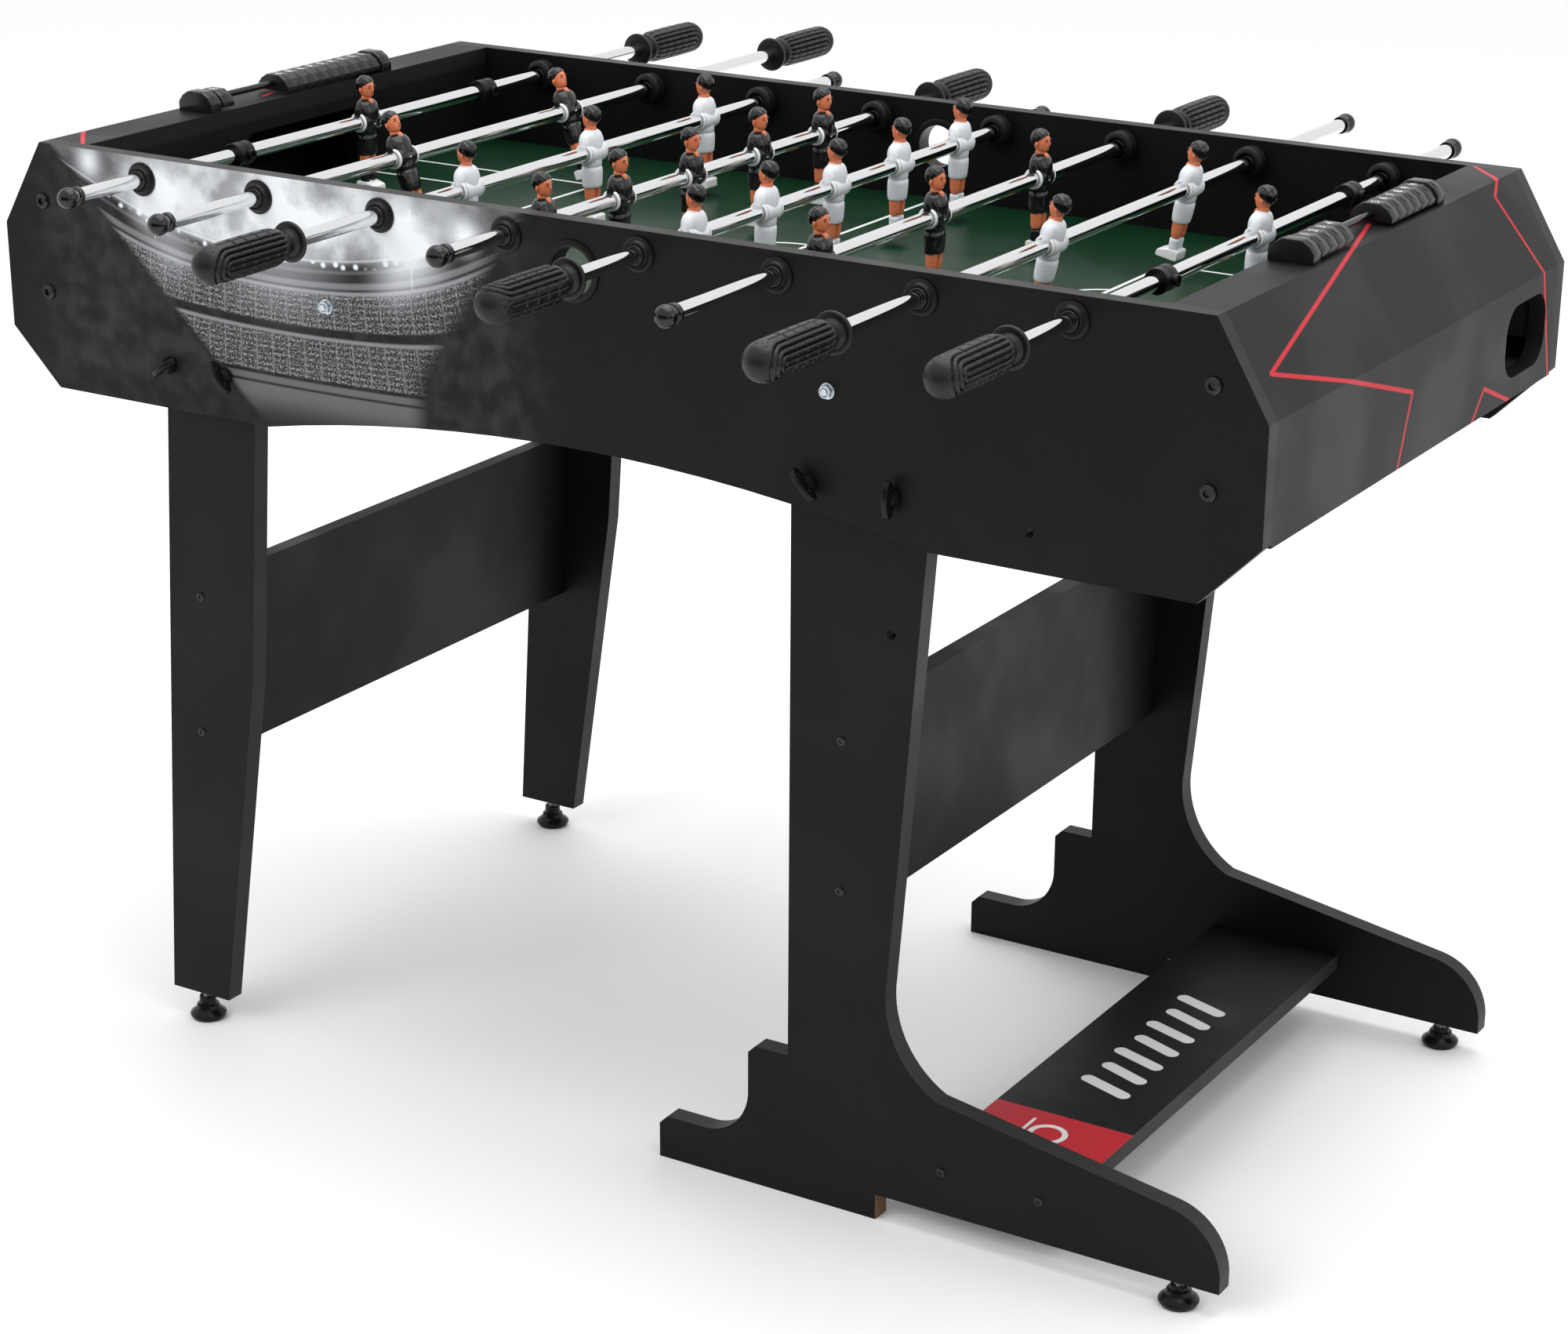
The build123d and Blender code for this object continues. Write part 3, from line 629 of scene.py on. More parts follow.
class FOOSBALL_OT_boards(Operator):
    """Finish the cabinet boards and the playing field"""

    bl_idname = "foosball.boards"
    bl_label = "Cabinet Boards"

    def execute(self, context):
        look = context.scene.foosball_boards
        black = tuple(look.laminate)
        panel, tree, shader = laminate("printed panel laminate", black, (0, 1, 0))
        stadium(tree, shader)
        paint(panel, "side_panel_near")
        paint(laminate("panel laminate", black, (0, 1, 0))[0], "side_panel_far")
        for kind, node, across in (
            ("rail", "end_top_rails", (0, 0, 1)),
            ("slope", "end_slope_boards", (0.8575, 0, 0.5145)),
            ("lower", "end_lower_boards", (1, 0, 0)),
        ):
            material, tree, shader = surface(
                f"end {kind} laminate", tuple(look.end_laminate), 0.50, grain=1400.0, bump=0.25,
                spread=0.10,
                dust=0.04, Specular_IOR_Level=0.24,
            )
            end_lines(tree, shader, kind)
            paint(material, node)
        paint(laminate("goal wall laminate", black, (1, 0, 0), look.laminate)[0], "goal_walls")
        field, tree, shader = surface(
            "printed field", tuple(look.field), 0.34, grain=650.0, bump=0.03, dust=0.05,
            Specular_IOR_Level=0.35
        )
        field_markings(tree, shader)
        paint(field, "playfield")
        # The inner battens get a near-black colour instead of bare brown fibreboard: painted shade, so the
        # inside seen through the ball hole looks dark.
        paint(surface("painted fibreboard", (0.006, 0.006, 0.006), 0.80, grain=1100.0, bump=0.5)[0],
            "inner_battens")
        return {"FINISHED"}


class FOOSBALL_OT_legs(Operator):
    """Finish the stand, the plain legs and their cross boards"""

    bl_idname = "foosball.legs"
    bl_label = "Legs and Boards"

    def execute(self, context):
        look = context.scene.foosball_boards
        black = tuple(look.laminate)
        stand, tree, shader = laminate("stand laminate", black, (0, 1, 0))
        x, _, z = coordinates(tree)
        notch = calc(tree, "MULTIPLY", calc(tree, "LESS_THAN", z, 0.0229), ramp(tree, x, 0.2818, 0.2822))
        notch = calc(tree, "MULTIPLY", notch, ramp(tree, x, 0.2830, 0.2826))
        tree.links.new(blend(tree, notch, base_of(shader), tuple(look.fibreboard)),
            shader.inputs["Base Color"])
        paint(stand, "stand_legs")
        paint(laminate("leg laminate", black, (0, 1, 0))[0], "stand_heels", "plain_legs")
        paint(laminate("cross board laminate", black, (1, 0, 0))[0], "stand_board", "plain_leg_board")
        base, tree, shader = laminate("base board laminate", black, (0, 0, 1))
        x, y, z = coordinates(tree)
        along = calc(tree, "SUBTRACT", y, MID_Y * MM)
        start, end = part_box("base_board")
        flat = put(tree, "CombineXYZ", {0: calc(tree, "SUBTRACT", x, (start.x + end.x) / 2),
            1: along}).outputs[0]
        top = ramp(tree, z, end.z - 0.0006, end.z - 0.0002)
        off = calc(tree, "ABSOLUTE", calc(tree, "ADD", along, 0.196))
        red = calc(tree, "MULTIPLY", calc(tree, "LESS_THAN", off, 0.036), top)
        label = calc(tree, "MAXIMUM", circle_line(tree, flat, (0.002, -0.196), 0.015, 0.005),
                     segments(tree, flat, [((-0.020, -0.176), (-0.020, -0.216))], 0.003))
        bars = segments(
            tree, flat, [((-0.016 + 0.004 * (k % 2), 0.032 * k - 0.084),
            (0.024, 0.032 * k - 0.098)) for k in range(7)], 0.013
        )
        colour = blend(tree, red, base_of(shader), tuple(look.stripe))
        white = calc(tree, "MULTIPLY", calc(tree, "MAXIMUM", label, bars), top)
        tree.links.new(blend(tree, white, colour, (0.75, 0.75, 0.75)), shader.inputs["Base Color"])
        paint(base, "base_board")
        return {"FINISHED"}


class FOOSBALL_OT_tubes(Operator):
    """Turn the chromed tubes and the black sleeves they slide in"""

    bl_idname = "foosball.tubes"
    bl_label = "Rods and Sleeves"

    def execute(self, context):
        look = context.scene.foosball_fittings
        chrome = metal("chrome", look.chrome, 0.07)
        black = glossy("black sleeve nylon", look.plastic, 0.26)
        for number in FIGURES:
            x, z, _, start, end = rod_facts(number)
            whole = bmesh.new()
            profile = [(5.15, 0.0), (6.05, 0.0), (6.35, 0.3), (6.35, end - start - 0.3),
                (6.05, end - start), (5.15, end - start), (5.15, 0.0)]
            turned(whole, profile, 40, (x, start, z), (0, 1, 0))
            finish_piece(f"rod_{number}_chrome", whole, [chrome], f"rod_{number}",
                [f"rod_{number}_tube"])
            whole = bmesh.new()
            for side in (-1, 1):
                profile = [(6.45, 276.0), (7.0, 276.0), (7.7, 276.6), (8.5, 281.0), (8.5, 311.2),
                    (8.0, 312.0), (6.8, 312.0), (6.45, 311.6), (6.45, 276.0)]
                turned(whole, profile, 36, (x, MID_Y, z), (0, side, 0))
            finish_piece(f"rod_{number}_liner", whole, [black], f"rod_{number}_bushes",
                [f"rod_{number}_sleeves"])
        return {"FINISHED"}


class FOOSBALL_OT_figures(Operator):
    """Model the player figures and set them on their rods"""

    bl_idname = "foosball.figures"
    bl_label = "Player Figures"

    def one_figure(self):
        """A generic player facing +X with the rod through the origin along Y."""
        whole = bmesh.new()
        skin, kit, hair, white, steel, ink = range(6)
        gather(whole, loft([
            (0.0, 0, -15.0, 8.2, 11.0), (0.0, 0, -9.0, 8.0, 10.8), (0.2, 0, -2.0, 8.9, 11.6),
            (0.8, 0, 5.0, 9.8, 12.8),
            (0.9, 0, 11.5, 9.6, 13.4), (0.4, 0, 16.0, 8.2, 12.8), (0.0, 0, 19.0, 6.2, 9.4),
            (-0.3, 0, 20.8, 4.4, 5.0),
        ], 20), kit)
        gather(whole, loft([
            (0.0, 0, -10.0, 8.4, 11.2), (0.0, 0, -16.0, 8.7, 11.6), (0.0, 0, -24.0, 8.4, 11.6),
            (-0.2, 0, -30.2, 7.6, 11.0),
            (-0.2, 0, -31.2, 7.2, 10.4),
        ], 20), kit)
        for side in (-1, 1):
            gather(whole, oval(5.2, 4.5, 9.4, (-0.3, side * 11.2, 7.5), 14, 10), kit,
                Matrix.Rotation(side * 0.12, 4, "X"))
            y = side * 4.4
            gather(whole, loft([
                (-0.2, y, -29.0, 5.5, 4.7), (-0.2, y, -33.0, 5.3, 4.5), (-0.4, y, -40.0, 4.9, 4.1),
                (-0.6, y, -45.6, 4.5, 3.9),
            ], 14), skin)
            gather(whole, loft([
                (-0.6, y, -45.0, 4.9, 4.3), (-0.6, y, -47.0, 4.7, 4.2), (-0.8, y, -53.0, 4.4, 4.0),
                (-0.8, y, -58.0, 4.8, 4.3),
            ], 14), kit)
            hub = [(6.5, 10.8), (6.5, 13.4), (8.3, 13.4), (9.0, 12.9), (9.2, 12.1), (9.2, 10.8),
                (6.5, 10.8)]
            turned(whole, hub, 28, (0, 0, 0), (0, side, 0), white)
            gather(whole, oval(1.5, 0.9, 2.2, (-0.4, side * 7.4, 29.4), 10, 8), skin)
            gather(whole, oval(0.8, 1.35, 0.55, (7.35, side * 3.0, 31.2), 10, 6), ink)
            gather(whole, oval(0.8, 1.9, 0.42, (7.5, side * 3.1, 33.1), 10, 6), hair)
        turned(whole, [(6.5, -10.6), (9.3, -10.6), (9.7, -9.0), (9.7, 9.0), (9.3, 10.6), (6.5, 10.6),
            (6.5, -10.6)], 28, (0, 0, 0), (0, 1, 0), kit)
        shoe = slab([(-8.0, -56.2), (-6.4, -55.0), (3.5, -55.0), (12.2, -58.6), (12.6, -63.2),
            (11.6, -64.0), (-7.0, -64.0), (-8.0, -63.0)], 18.0)
        gather(whole, round_off(shoe, 0.9), white, Matrix.Rotation(math.pi / 2, 4, "X"))
        gather(whole, loft([(-0.6, 0, 17.0, 4.6, 4.6), (-0.5, 0, 21.0, 4.1, 4.0),
            (-0.3, 0, 25.0, 4.3, 4.2)], 16), skin)
        gather(whole, oval(3.4, 3.0, 4.6, (4.6, 0, 17.3), 12, 8), skin)
        gather(whole, loft([
            (1.6, 0, 22.0, 3.4, 2.9), (1.5, 0, 23.0, 5.2, 4.4), (1.2, 0, 25.2, 6.4, 5.7),
            (0.7, 0, 28.5, 7.3, 6.8),
            (0.3, 0, 32.5, 7.7, 7.3), (0.0, 0, 36.0, 7.4, 7.1), (-0.2, 0, 38.6, 5.6, 5.6),
            (-0.3, 0, 39.6, 3.0, 3.2),
        ], 18), skin)
        gather(whole, oval(1.7, 1.15, 2.3, (7.7, 0, 29.3), 10, 8), skin)
        gather(whole, oval(1.0, 4.6, 0.8, (7.0, 0, 32.6), 14, 6), skin)
        gather(whole, oval(0.7, 1.8, 0.45, (7.2, 0, 25.9), 10, 6), ink)
        gather(whole, self.hair(), hair)
        chest = (8.9, 0, 0)
        turned(whole, [(0.0, 0.4), (1.5, 0.3), (1.6, 0.0)], 14, chest, (1, 0, 0), steel)
        ring = [(1.5, 0.0), (1.6, 0.7), (2.4, 0.7), (2.8, 0.0), (2.8, -1.0)]
        turned(whole, ring, 18, chest, (1, 0, 0), white)
        mesh = bpy.data.meshes.new("figure")
        whole.to_mesh(mesh)
        whole.free()
        return mesh

    def hair(self):
        """Swept hair: an oval with wavy locks, cut off along the hairline."""
        part = oval(8.7, 8.2, 8.4, (-0.7, 0, 33.2), 36, 20)
        for vert in part.verts:
            lean = vert.co.y * 1.15 + 1.4 * math.sin(vert.co.x * 0.42) + 0.35 * (vert.co.z - 33.0)
            outward = (vert.co - Vector((-0.7, 0, 33.2))).normalized()
            vert.co += outward * (0.46 * math.sin(lean * 1.9))
        lining = (Vector((7.6, 0, 36.2)), Vector((0.56, 0, -0.83)))
        bmesh.ops.bisect_plane(
            part, geom=part.verts[:] + part.edges[:] + part.faces[:], plane_co=lining[0],
            plane_no=lining[1], clear_outer=True
        )
        open_edges = [e for e in part.edges if e.is_boundary]
        bmesh.ops.contextual_create(part, geom=open_edges)
        return part

    def execute(self, context):
        look = context.scene.foosball_figures
        fittings = context.scene.foosball_fittings
        shared = {
            "skin": glossy("figure skin", look.skin, 0.30),
            "hair": glossy("figure hair", look.hair, 0.14),
            "white": glossy("figure white", (0.80, 0.80, 0.80), 0.28),
            "steel": metal("figure screw", fittings.zinc, 0.25),
            "ink": glossy("figure ink", (0.05, 0.018, 0.012), 0.35),
        }
        kits = {True: glossy("dark kit", look.dark_kit, 0.13),
            False: glossy("light kit", look.light_kit, 0.32)}
        mesh = self.one_figure()
        for number, count in FIGURES.items():
            dark = number in DARK_RODS
            x, z, side, _, _ = rod_facts(number)
            low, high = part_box(f"rod_{number}_men")
            first, last = low.y / MM + FIGURE_HALF, high.y / MM - FIGURE_HALF
            whole = bmesh.new()
            for k in range(count):
                y = first if count == 1 else first + (last - first) * k / (count - 1)
                place = Matrix.Translation((x, y, z)) @ Matrix.Rotation(math.radians(REST_LEAN[number]), 4,
                    "Y")
                place = place @ Matrix.Rotation(0.0 if dark else math.pi, 4, "Z")
                before = len(whole.verts)
                whole.from_mesh(mesh)
                whole.verts.ensure_lookup_table()
                bmesh.ops.transform(whole, matrix=place, verts=whole.verts[before:])
            materials = [shared["skin"], kits[dark], shared["hair"], shared["white"], shared["steel"],
                shared["ink"]]
            finish_piece(
                f"rod_{number}_figures", whole, materials, f"rod_{number}",
                [f"rod_{number}_men"], smooth=1.0, subdivide=1,
            )
        bpy.data.meshes.remove(mesh)
        return {"FINISHED"}


def ease(value):
    value = min(max(value, 0.0), 1.0)
    return value * value * (3 - 2 * value)


class FOOSBALL_OT_grips(Operator):
    """Mould the ribbed rubber grips with their flanges"""

    bl_idname = "foosball.grips"
    bl_label = "Rubber Grips"

    barrel, dome_start = 15.4, 94.0

    def radius(self, d):
        if d < 18.0:
            return 9.0 + 4.4 * ease((d - 13.0) / 5.0)
        if d < 28.0:
            return 13.4 + 2.0 * ease((d - 18.0) / 9.0)
        if d < self.dome_start:
            return self.barrel + 0.3 * math.sin(math.pi * (d - 28.0) / (self.dome_start - 28.0))
        share = (d - self.dome_start) / (GRIP_LENGTH - self.dome_start)
        return self.barrel * math.sqrt(max(0.0, 1.0 - min(share, 1.0) ** 2.3))

    def relief(self, d, angle, look):
        """Height of the moulded pattern: nested ribs on two sides, grooved pads between them."""
        side = abs((angle / math.pi + 0.5) % 1.0 - 0.5) * math.pi
        reach = self.barrel * side
        centre = self.barrel * math.pi / 2 - reach
        pitch, deep, groove = look.rib_pitch / MM, look.rib_depth / MM, look.groove_depth / MM
        nested = math.hypot(reach, max(0.0, d - 88.0))
        inside = 3.5 * pitch
        cut = max(1.0 - ease(abs(d - at) / 1.3) for at in (34.0, 48.0, 62.0, 76.0))
        if nested < inside:
            wave = abs((nested / pitch) % 1.0 - 0.5) * 2.0
            height = -deep * (1.0 - ease(wave / 0.6)) - 0.8 * groove * cut
        else:
            height = -groove * max(cut if d < 90.0 else 0.0, 1.0 - ease(centre / 0.9) if d < 94.0 else 0.0)
            height = min(height, -deep * (1.0 - ease((nested - inside) / 1.1)))
        for at, aside in ((97.0, 3.2), (101.0, 0.0), (102.5, 5.5)):
            height = min(height, -0.9 * (1.0 - ease(math.hypot(d - at, centre - aside) / 1.9)))
        return height * ease((d - 19.0) / 3.0) * (1.0 - ease((d - 107.5) / 3.5))

    def moulding(self, look):
        rows = [13.0 + (self.dome_start - 13.0) * k / 118 for k in range(118)]
        span = GRIP_LENGTH - self.dome_start
        rows += [self.dome_start + span * math.sin(math.pi / 2 * k / 26) for k in range(26)]
        rows.append(GRIP_LENGTH - 0.01)
        part = lathe([(self.radius(d), d) for d in rows] + [(0.0, GRIP_LENGTH)], 180)
        for vert in part.verts:
            flat = Vector((vert.co.x, vert.co.y, 0.0))
            if flat.length > 2.0:
                vert.co += flat.normalized() * self.relief(vert.co.z, math.atan2(flat.y, flat.x), look)
        return part

    def execute(self, context):
        look = context.scene.foosball_grips
        rubber = surface(
            "grip rubber", tuple(look.rubber), 0.40, grain=1600.0, bump=0.10, spread=0.10, dust=0.05,
            Specular_IOR_Level=0.35
        )[0]
        flange = [(6.4, 0.0), (15.2, 0.0), (16.2, 0.5), (16.6, 1.6), (16.3, 3.2), (15.3, 3.9), (12.6, 3.6),
            (12.0, 3.2),
                  (11.2, 3.6), (10.6, 5.0), (9.4, 6.0), (9.0, 8.0), (9.0, 13.0)]
        for number in FIGURES:
            x, z, side, _, _ = rod_facts(number)
            low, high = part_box(f"rod_{number}_grip")
            end = (high.y if side > 0 else low.y) / MM
            phase = math.pi / 2 if number == 5 else 0.2 * math.sin(number * 1.7)
            place = aimed((x, end - side * GRIP_LENGTH, z), (0, side, 0), phase)
            whole = bmesh.new()
            gather(whole, self.moulding(look), 0, place)
            gather(whole, lathe(flange, 56), 0, place)
            finish_piece(f"rod_{number}_handle", whole, [rubber], f"rod_{number}",
                [f"rod_{number}_grip"], smooth=0.9)
        return {"FINISHED"}


class FOOSBALL_OT_rod_ends(Operator):
    """Add the ball caps and the goalkeepers' stop collars"""

    bl_idname = "foosball.rod_ends"
    bl_label = "Caps and Collars"

    def execute(self, context):
        look = context.scene.foosball_fittings
        gloss = glossy("cap plastic", look.plastic, 0.12)
        matt = plastic()
        ball = [(9.0 * math.cos(math.radians(a)),
            13.0 + 9.0 * math.sin(math.radians(a))) for a in range(-56, 90, 8)]
        cap = [(6.4, 0.0), (7.6, 0.0), (8.0, 0.5), (8.0, 3.6), (7.6, 4.2),
            (7.7, 5.0)] + ball[1:] + [(0.0, 22.0)]
        ring = [(6.4, -10.0), (9.9, -10.0), (10.5, -9.4), (10.5, -1.6), (10.1, -1.2), (10.1, 1.2),
            (10.5, 1.6), (10.5, 9.4), (9.9, 10.0), (6.4, 10.0), (6.4, -10.0)]
        stud = [(0.0, 11.2), (2.2, 11.2), (2.3, 13.2), (4.4, 13.5), (4.9, 13.0), (5.0, 9.0), (5.0, 6.0)]
        for number, count in FIGURES.items():
            x, z, side, _, _ = rod_facts(number)
            low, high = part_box(f"rod_{number}_grip")
            end = (low.y if side > 0 else high.y) / MM
            whole = bmesh.new()
            turned(whole, cap, 40, (x, end + side * 22.0, z), (0, -side, 0))
            if count == 1:
                centre = middle(f"rod_{number}_men").y
                for across in (-COLLAR_AT, COLLAR_AT):
                    turned(whole, ring, 40, (x, centre + across, z), (0, 1, 0), 1)
                    turned(whole, stud, 24, (x, centre + across + 3.0, z), (1, 0, 0), 1)
            finish_piece(f"rod_{number}_end_cap", whole, [gloss, matt], f"rod_{number}")
        return {"FINISHED"}


class FOOSBALL_OT_bearings(Operator):
    """Turn the flanged rod bearings, their ribbed bumpers and the ball inlets"""

    bl_idname = "foosball.bearings"
    bl_label = "Bearings and Inlets"

    def execute(self, context):
        housing = [(8.6, 284.0), (10.4, 284.0), (10.4, 305.0), (13.9, 305.0), (14.5, 305.4), (14.5, 306.6),
            (13.9, 307.1),
                   (12.1, 307.6), (11.5, 308.4), (11.2, 310.2), (10.5, 311.0), (9.2, 311.0), (8.6, 310.5),
                   (8.6, 284.0)]
        bumper = [(9.3, 275.0), (11.0, 275.0), (11.9, 275.5), (13.9, 276.9), (14.5, 277.7), (14.5, 279.1),
            (13.9, 279.7),
                  (12.3, 280.0), (12.3, 280.7), (13.9, 281.0), (14.5, 281.6), (14.5, 283.5), (13.9, 284.1),
                  (12.3, 284.4),
                  (12.3, 285.1), (13.9, 285.4), (14.5, 286.0), (14.5, 290.0), (10.6, 290.0), (10.6, 284.2),
                  (9.3, 284.2), (9.3, 275.0)]
        whole = bmesh.new()
        for number in FIGURES:
            x, z, _, _, _ = rod_facts(number)
            for side in (-1, 1):
                turned(whole, housing, 40, (x, MID_Y, z), (0, side, 0))
                turned(whole, bumper, 40, (x, MID_Y, z), (0, side, 0))
        finish_piece("rod_bearings_moulded", whole, [plastic()], "cabinet",
            ["rod_bearings"])
        whole = bmesh.new()
        inlet = [(19.5, 288.0), (24.6, 288.0), (25.5, 288.6), (25.5, 290.0), (22.4, 290.0), (22.4, 305.0),
            (25.1, 305.0),
                 (25.5, 305.6), (25.2, 306.5), (24.2, 307.0), (20.6, 307.0), (19.8, 306.6), (19.5, 305.6),
                 (19.5, 288.0)]
        centre = middle("ball_inlets")
        for side in (-1, 1):
            turned(whole, inlet, 64, (centre.x, MID_Y, centre.z), (0, side, 0))
        finish_piece("ball_inlets_moulded", whole, [plastic()], "cabinet",
            ["ball_inlets"])
        return {"FINISHED"}


class FOOSBALL_OT_counters(Operator):
    """Build the two score counters with numbered beads"""

    bl_idname = "foosball.counters"
    bl_label = "Score Counters"

    pitch, gap, block, near_slack, far_slack = 15.5, 0.3, 14.0, 4.0, 1.0

    def shell(self, whole, x, y, length, half, low, high, bore):
        outline = [(-half, low), (half, low), (half, high - 10), (half - 4.5, high - 4), (half - 11, high),
                   (-half + 11, high), (-half + 4.5, high - 4), (-half, high - 10)]
        part = round_off(slab(outline, length), 0.5, 2, 0.2)
        place = Matrix.Translation((x, y + length / 2, 0)) @ Matrix.Rotation(math.pi / 2, 4, "X")
        gather(whole, part, 0, place)
        for side in (-1, 1):
            slope = Matrix.Translation((x + side * (half - 7.6), y + length / 2,
                high - 1.95)) @ Matrix.Rotation(side * 0.55, 4, "Y")
            gather(whole, oval(3.9, 1.9, 0.55, (0, 0, 0), 14, 6), 0, slope)

    def digit(self, whole, text, x, y, z, side):
        """A number printed on a bead's flat top, upright for a player at that end."""
        curve = bpy.data.curves.new("digit", "FONT")
        curve.body = text
        curve.size = 10.5 if len(text) == 1 else 8.5
        curve.align_x, curve.align_y = "CENTER", "CENTER"
        curve.resolution_u = 3
        curve.extrude = 0.06
        holder = bpy.data.objects.new("digit", curve)
        mesh = bpy.data.meshes.new_from_object(holder)
        place = Matrix.Translation((x, y, z)) @ Matrix.Rotation(side * math.pi / 2, 4, "Z")
        mesh.transform(place)
        part = bmesh.new()
        part.from_mesh(mesh)
        bpy.data.objects.remove(holder)
        bpy.data.curves.remove(curve)
        bpy.data.meshes.remove(mesh)
        gather(whole, part, 1)

    def execute(self, context):
        look = context.scene.foosball_fittings
        black = surface(
            "counter plastic", (0.0075, 0.0075, 0.0082), 0.30, grain=1500.0, bump=0.08, dust=0.05,
            Specular_IOR_Level=0.35
        )[0]
        digits = glossy("digit paint", look.digit, 0.4)
        dark = glossy("counter rod", look.plastic, 0.12)
        low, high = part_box("score_counters")
        start, end, base = low.y / MM, high.y / MM, low.z / MM
        parked = bmesh.new()
        for side, near, moving in ((-1, 0, "left_score_bead"), (1, 3, "right_score_bead")):
            x = middle(moving).x
            axis = base + 9.0
            for y in (start, end - self.block):
                self.shell(parked, x, y, self.block, 19.0, base, base + 18.0, 3.0)
                gather(parked, lathe([(0.0, 0.35), (2.3, 0.3), (2.7, 0.0)], 20), 2,
                    Matrix.Translation((x, y + self.block / 2, base + 17.9)))
            turned(parked, [(0.0, start + 3), (3.0, start + 3), (3.0, end - 3), (0.0, end - 3)], 24,
                (x, 0, axis), (0, 1, 0), 2)
            first = start + self.block + self.near_slack
            last = end - self.block - self.far_slack
            spots = [first + k * self.pitch for k in range(near + 1)]
            spots += [last - k * self.pitch for k in range(9 - near, 0, -1)]
            for k, y in enumerate(spots):
                number = k + 1 if side > 0 else 10 - k
                target = parked if k != near else bmesh.new()
                self.shell(target, x, y, self.pitch - self.gap, 18.0, base + 2.5, base + 17.0, 3.05)
                self.digit(target, str(number), x, y + self.pitch / 2, base + 17.02, side)
                if k == near:
                    finish_piece(f"{moving}_numbered", target, [black, digits], moving,
                        [moving], smooth=0.5)
        finish_piece("score_counters_numbered", parked, [black, digits, dark], "cabinet",
            ["score_counters"], smooth=0.5)
        return {"FINISHED"}


class FOOSBALL_OT_wing_screws(Operator):
    """Model the four pairs of wing screws that hold the legs"""

    bl_idname = "foosball.wing_screws"
    bl_label = "Wing Screws"

    def execute(self, context):
        black = plastic("wing plastic", 0.30)
        steel = metal("screw shaft zinc", context.scene.foosball_fittings.zinc, 0.30)
        for name, tilt, tip in (
            ("stand_pivot_screws", 0.0, 271.5),
            ("stand_lock_screws", -42.0, 290.0),
            ("plain_pivot_screws", -35.0, 271.5),
            ("plain_lock_screws", 55.0, 290.0),
        ):
            centre = middle(name)
            whole = bmesh.new()
            for side in (-1, 1):
                face = (centre.x, MID_Y + side * HALF_WIDTH, WING_HEIGHT)
                shaft = [(0.0, tip - HALF_WIDTH), (3.4, tip - HALF_WIDTH), (4.0, tip - HALF_WIDTH + 0.8),
                    (4.0, 2.0)]
                turned(whole, shaft, 24, face, (0, side, 0), 1)
                boss = [(4.0, 1.0), (6.9, 1.0), (7.5, 1.6), (7.3, 3.4), (6.4, 5.6), (5.2, 8.6), (0.0, 9.4)]
                turned(whole, boss, 32, face, (0, side, 0))
                leaf = [(15.5 * math.cos(a),
                    6.6 * math.sin(a)) for a in (math.tau * k / 28 for k in range(28))]
                wing = round_off(slab(leaf, 5.0), 1.1, 3, 0.5)
                turn = Matrix.Rotation(math.radians(tilt) - math.pi / 2, 4,
                    "Y") @ Matrix.Translation((0, side * 8.6, 0))
                gather(whole, wing, 0, Matrix.Translation(face) @ turn)
                for end in (-1, 1):
                    dish = Matrix.Translation(face) @ turn @ Matrix.Translation((end * 7.6, 0, 0))
                    gather(whole, oval(5.0, 3.6, 3.1, (0, 0, 0), 16, 8), 0, dish)
            finish_piece(f"{name}_moulded", whole, [black, steel], name, [name])
        return {"FINISHED"}


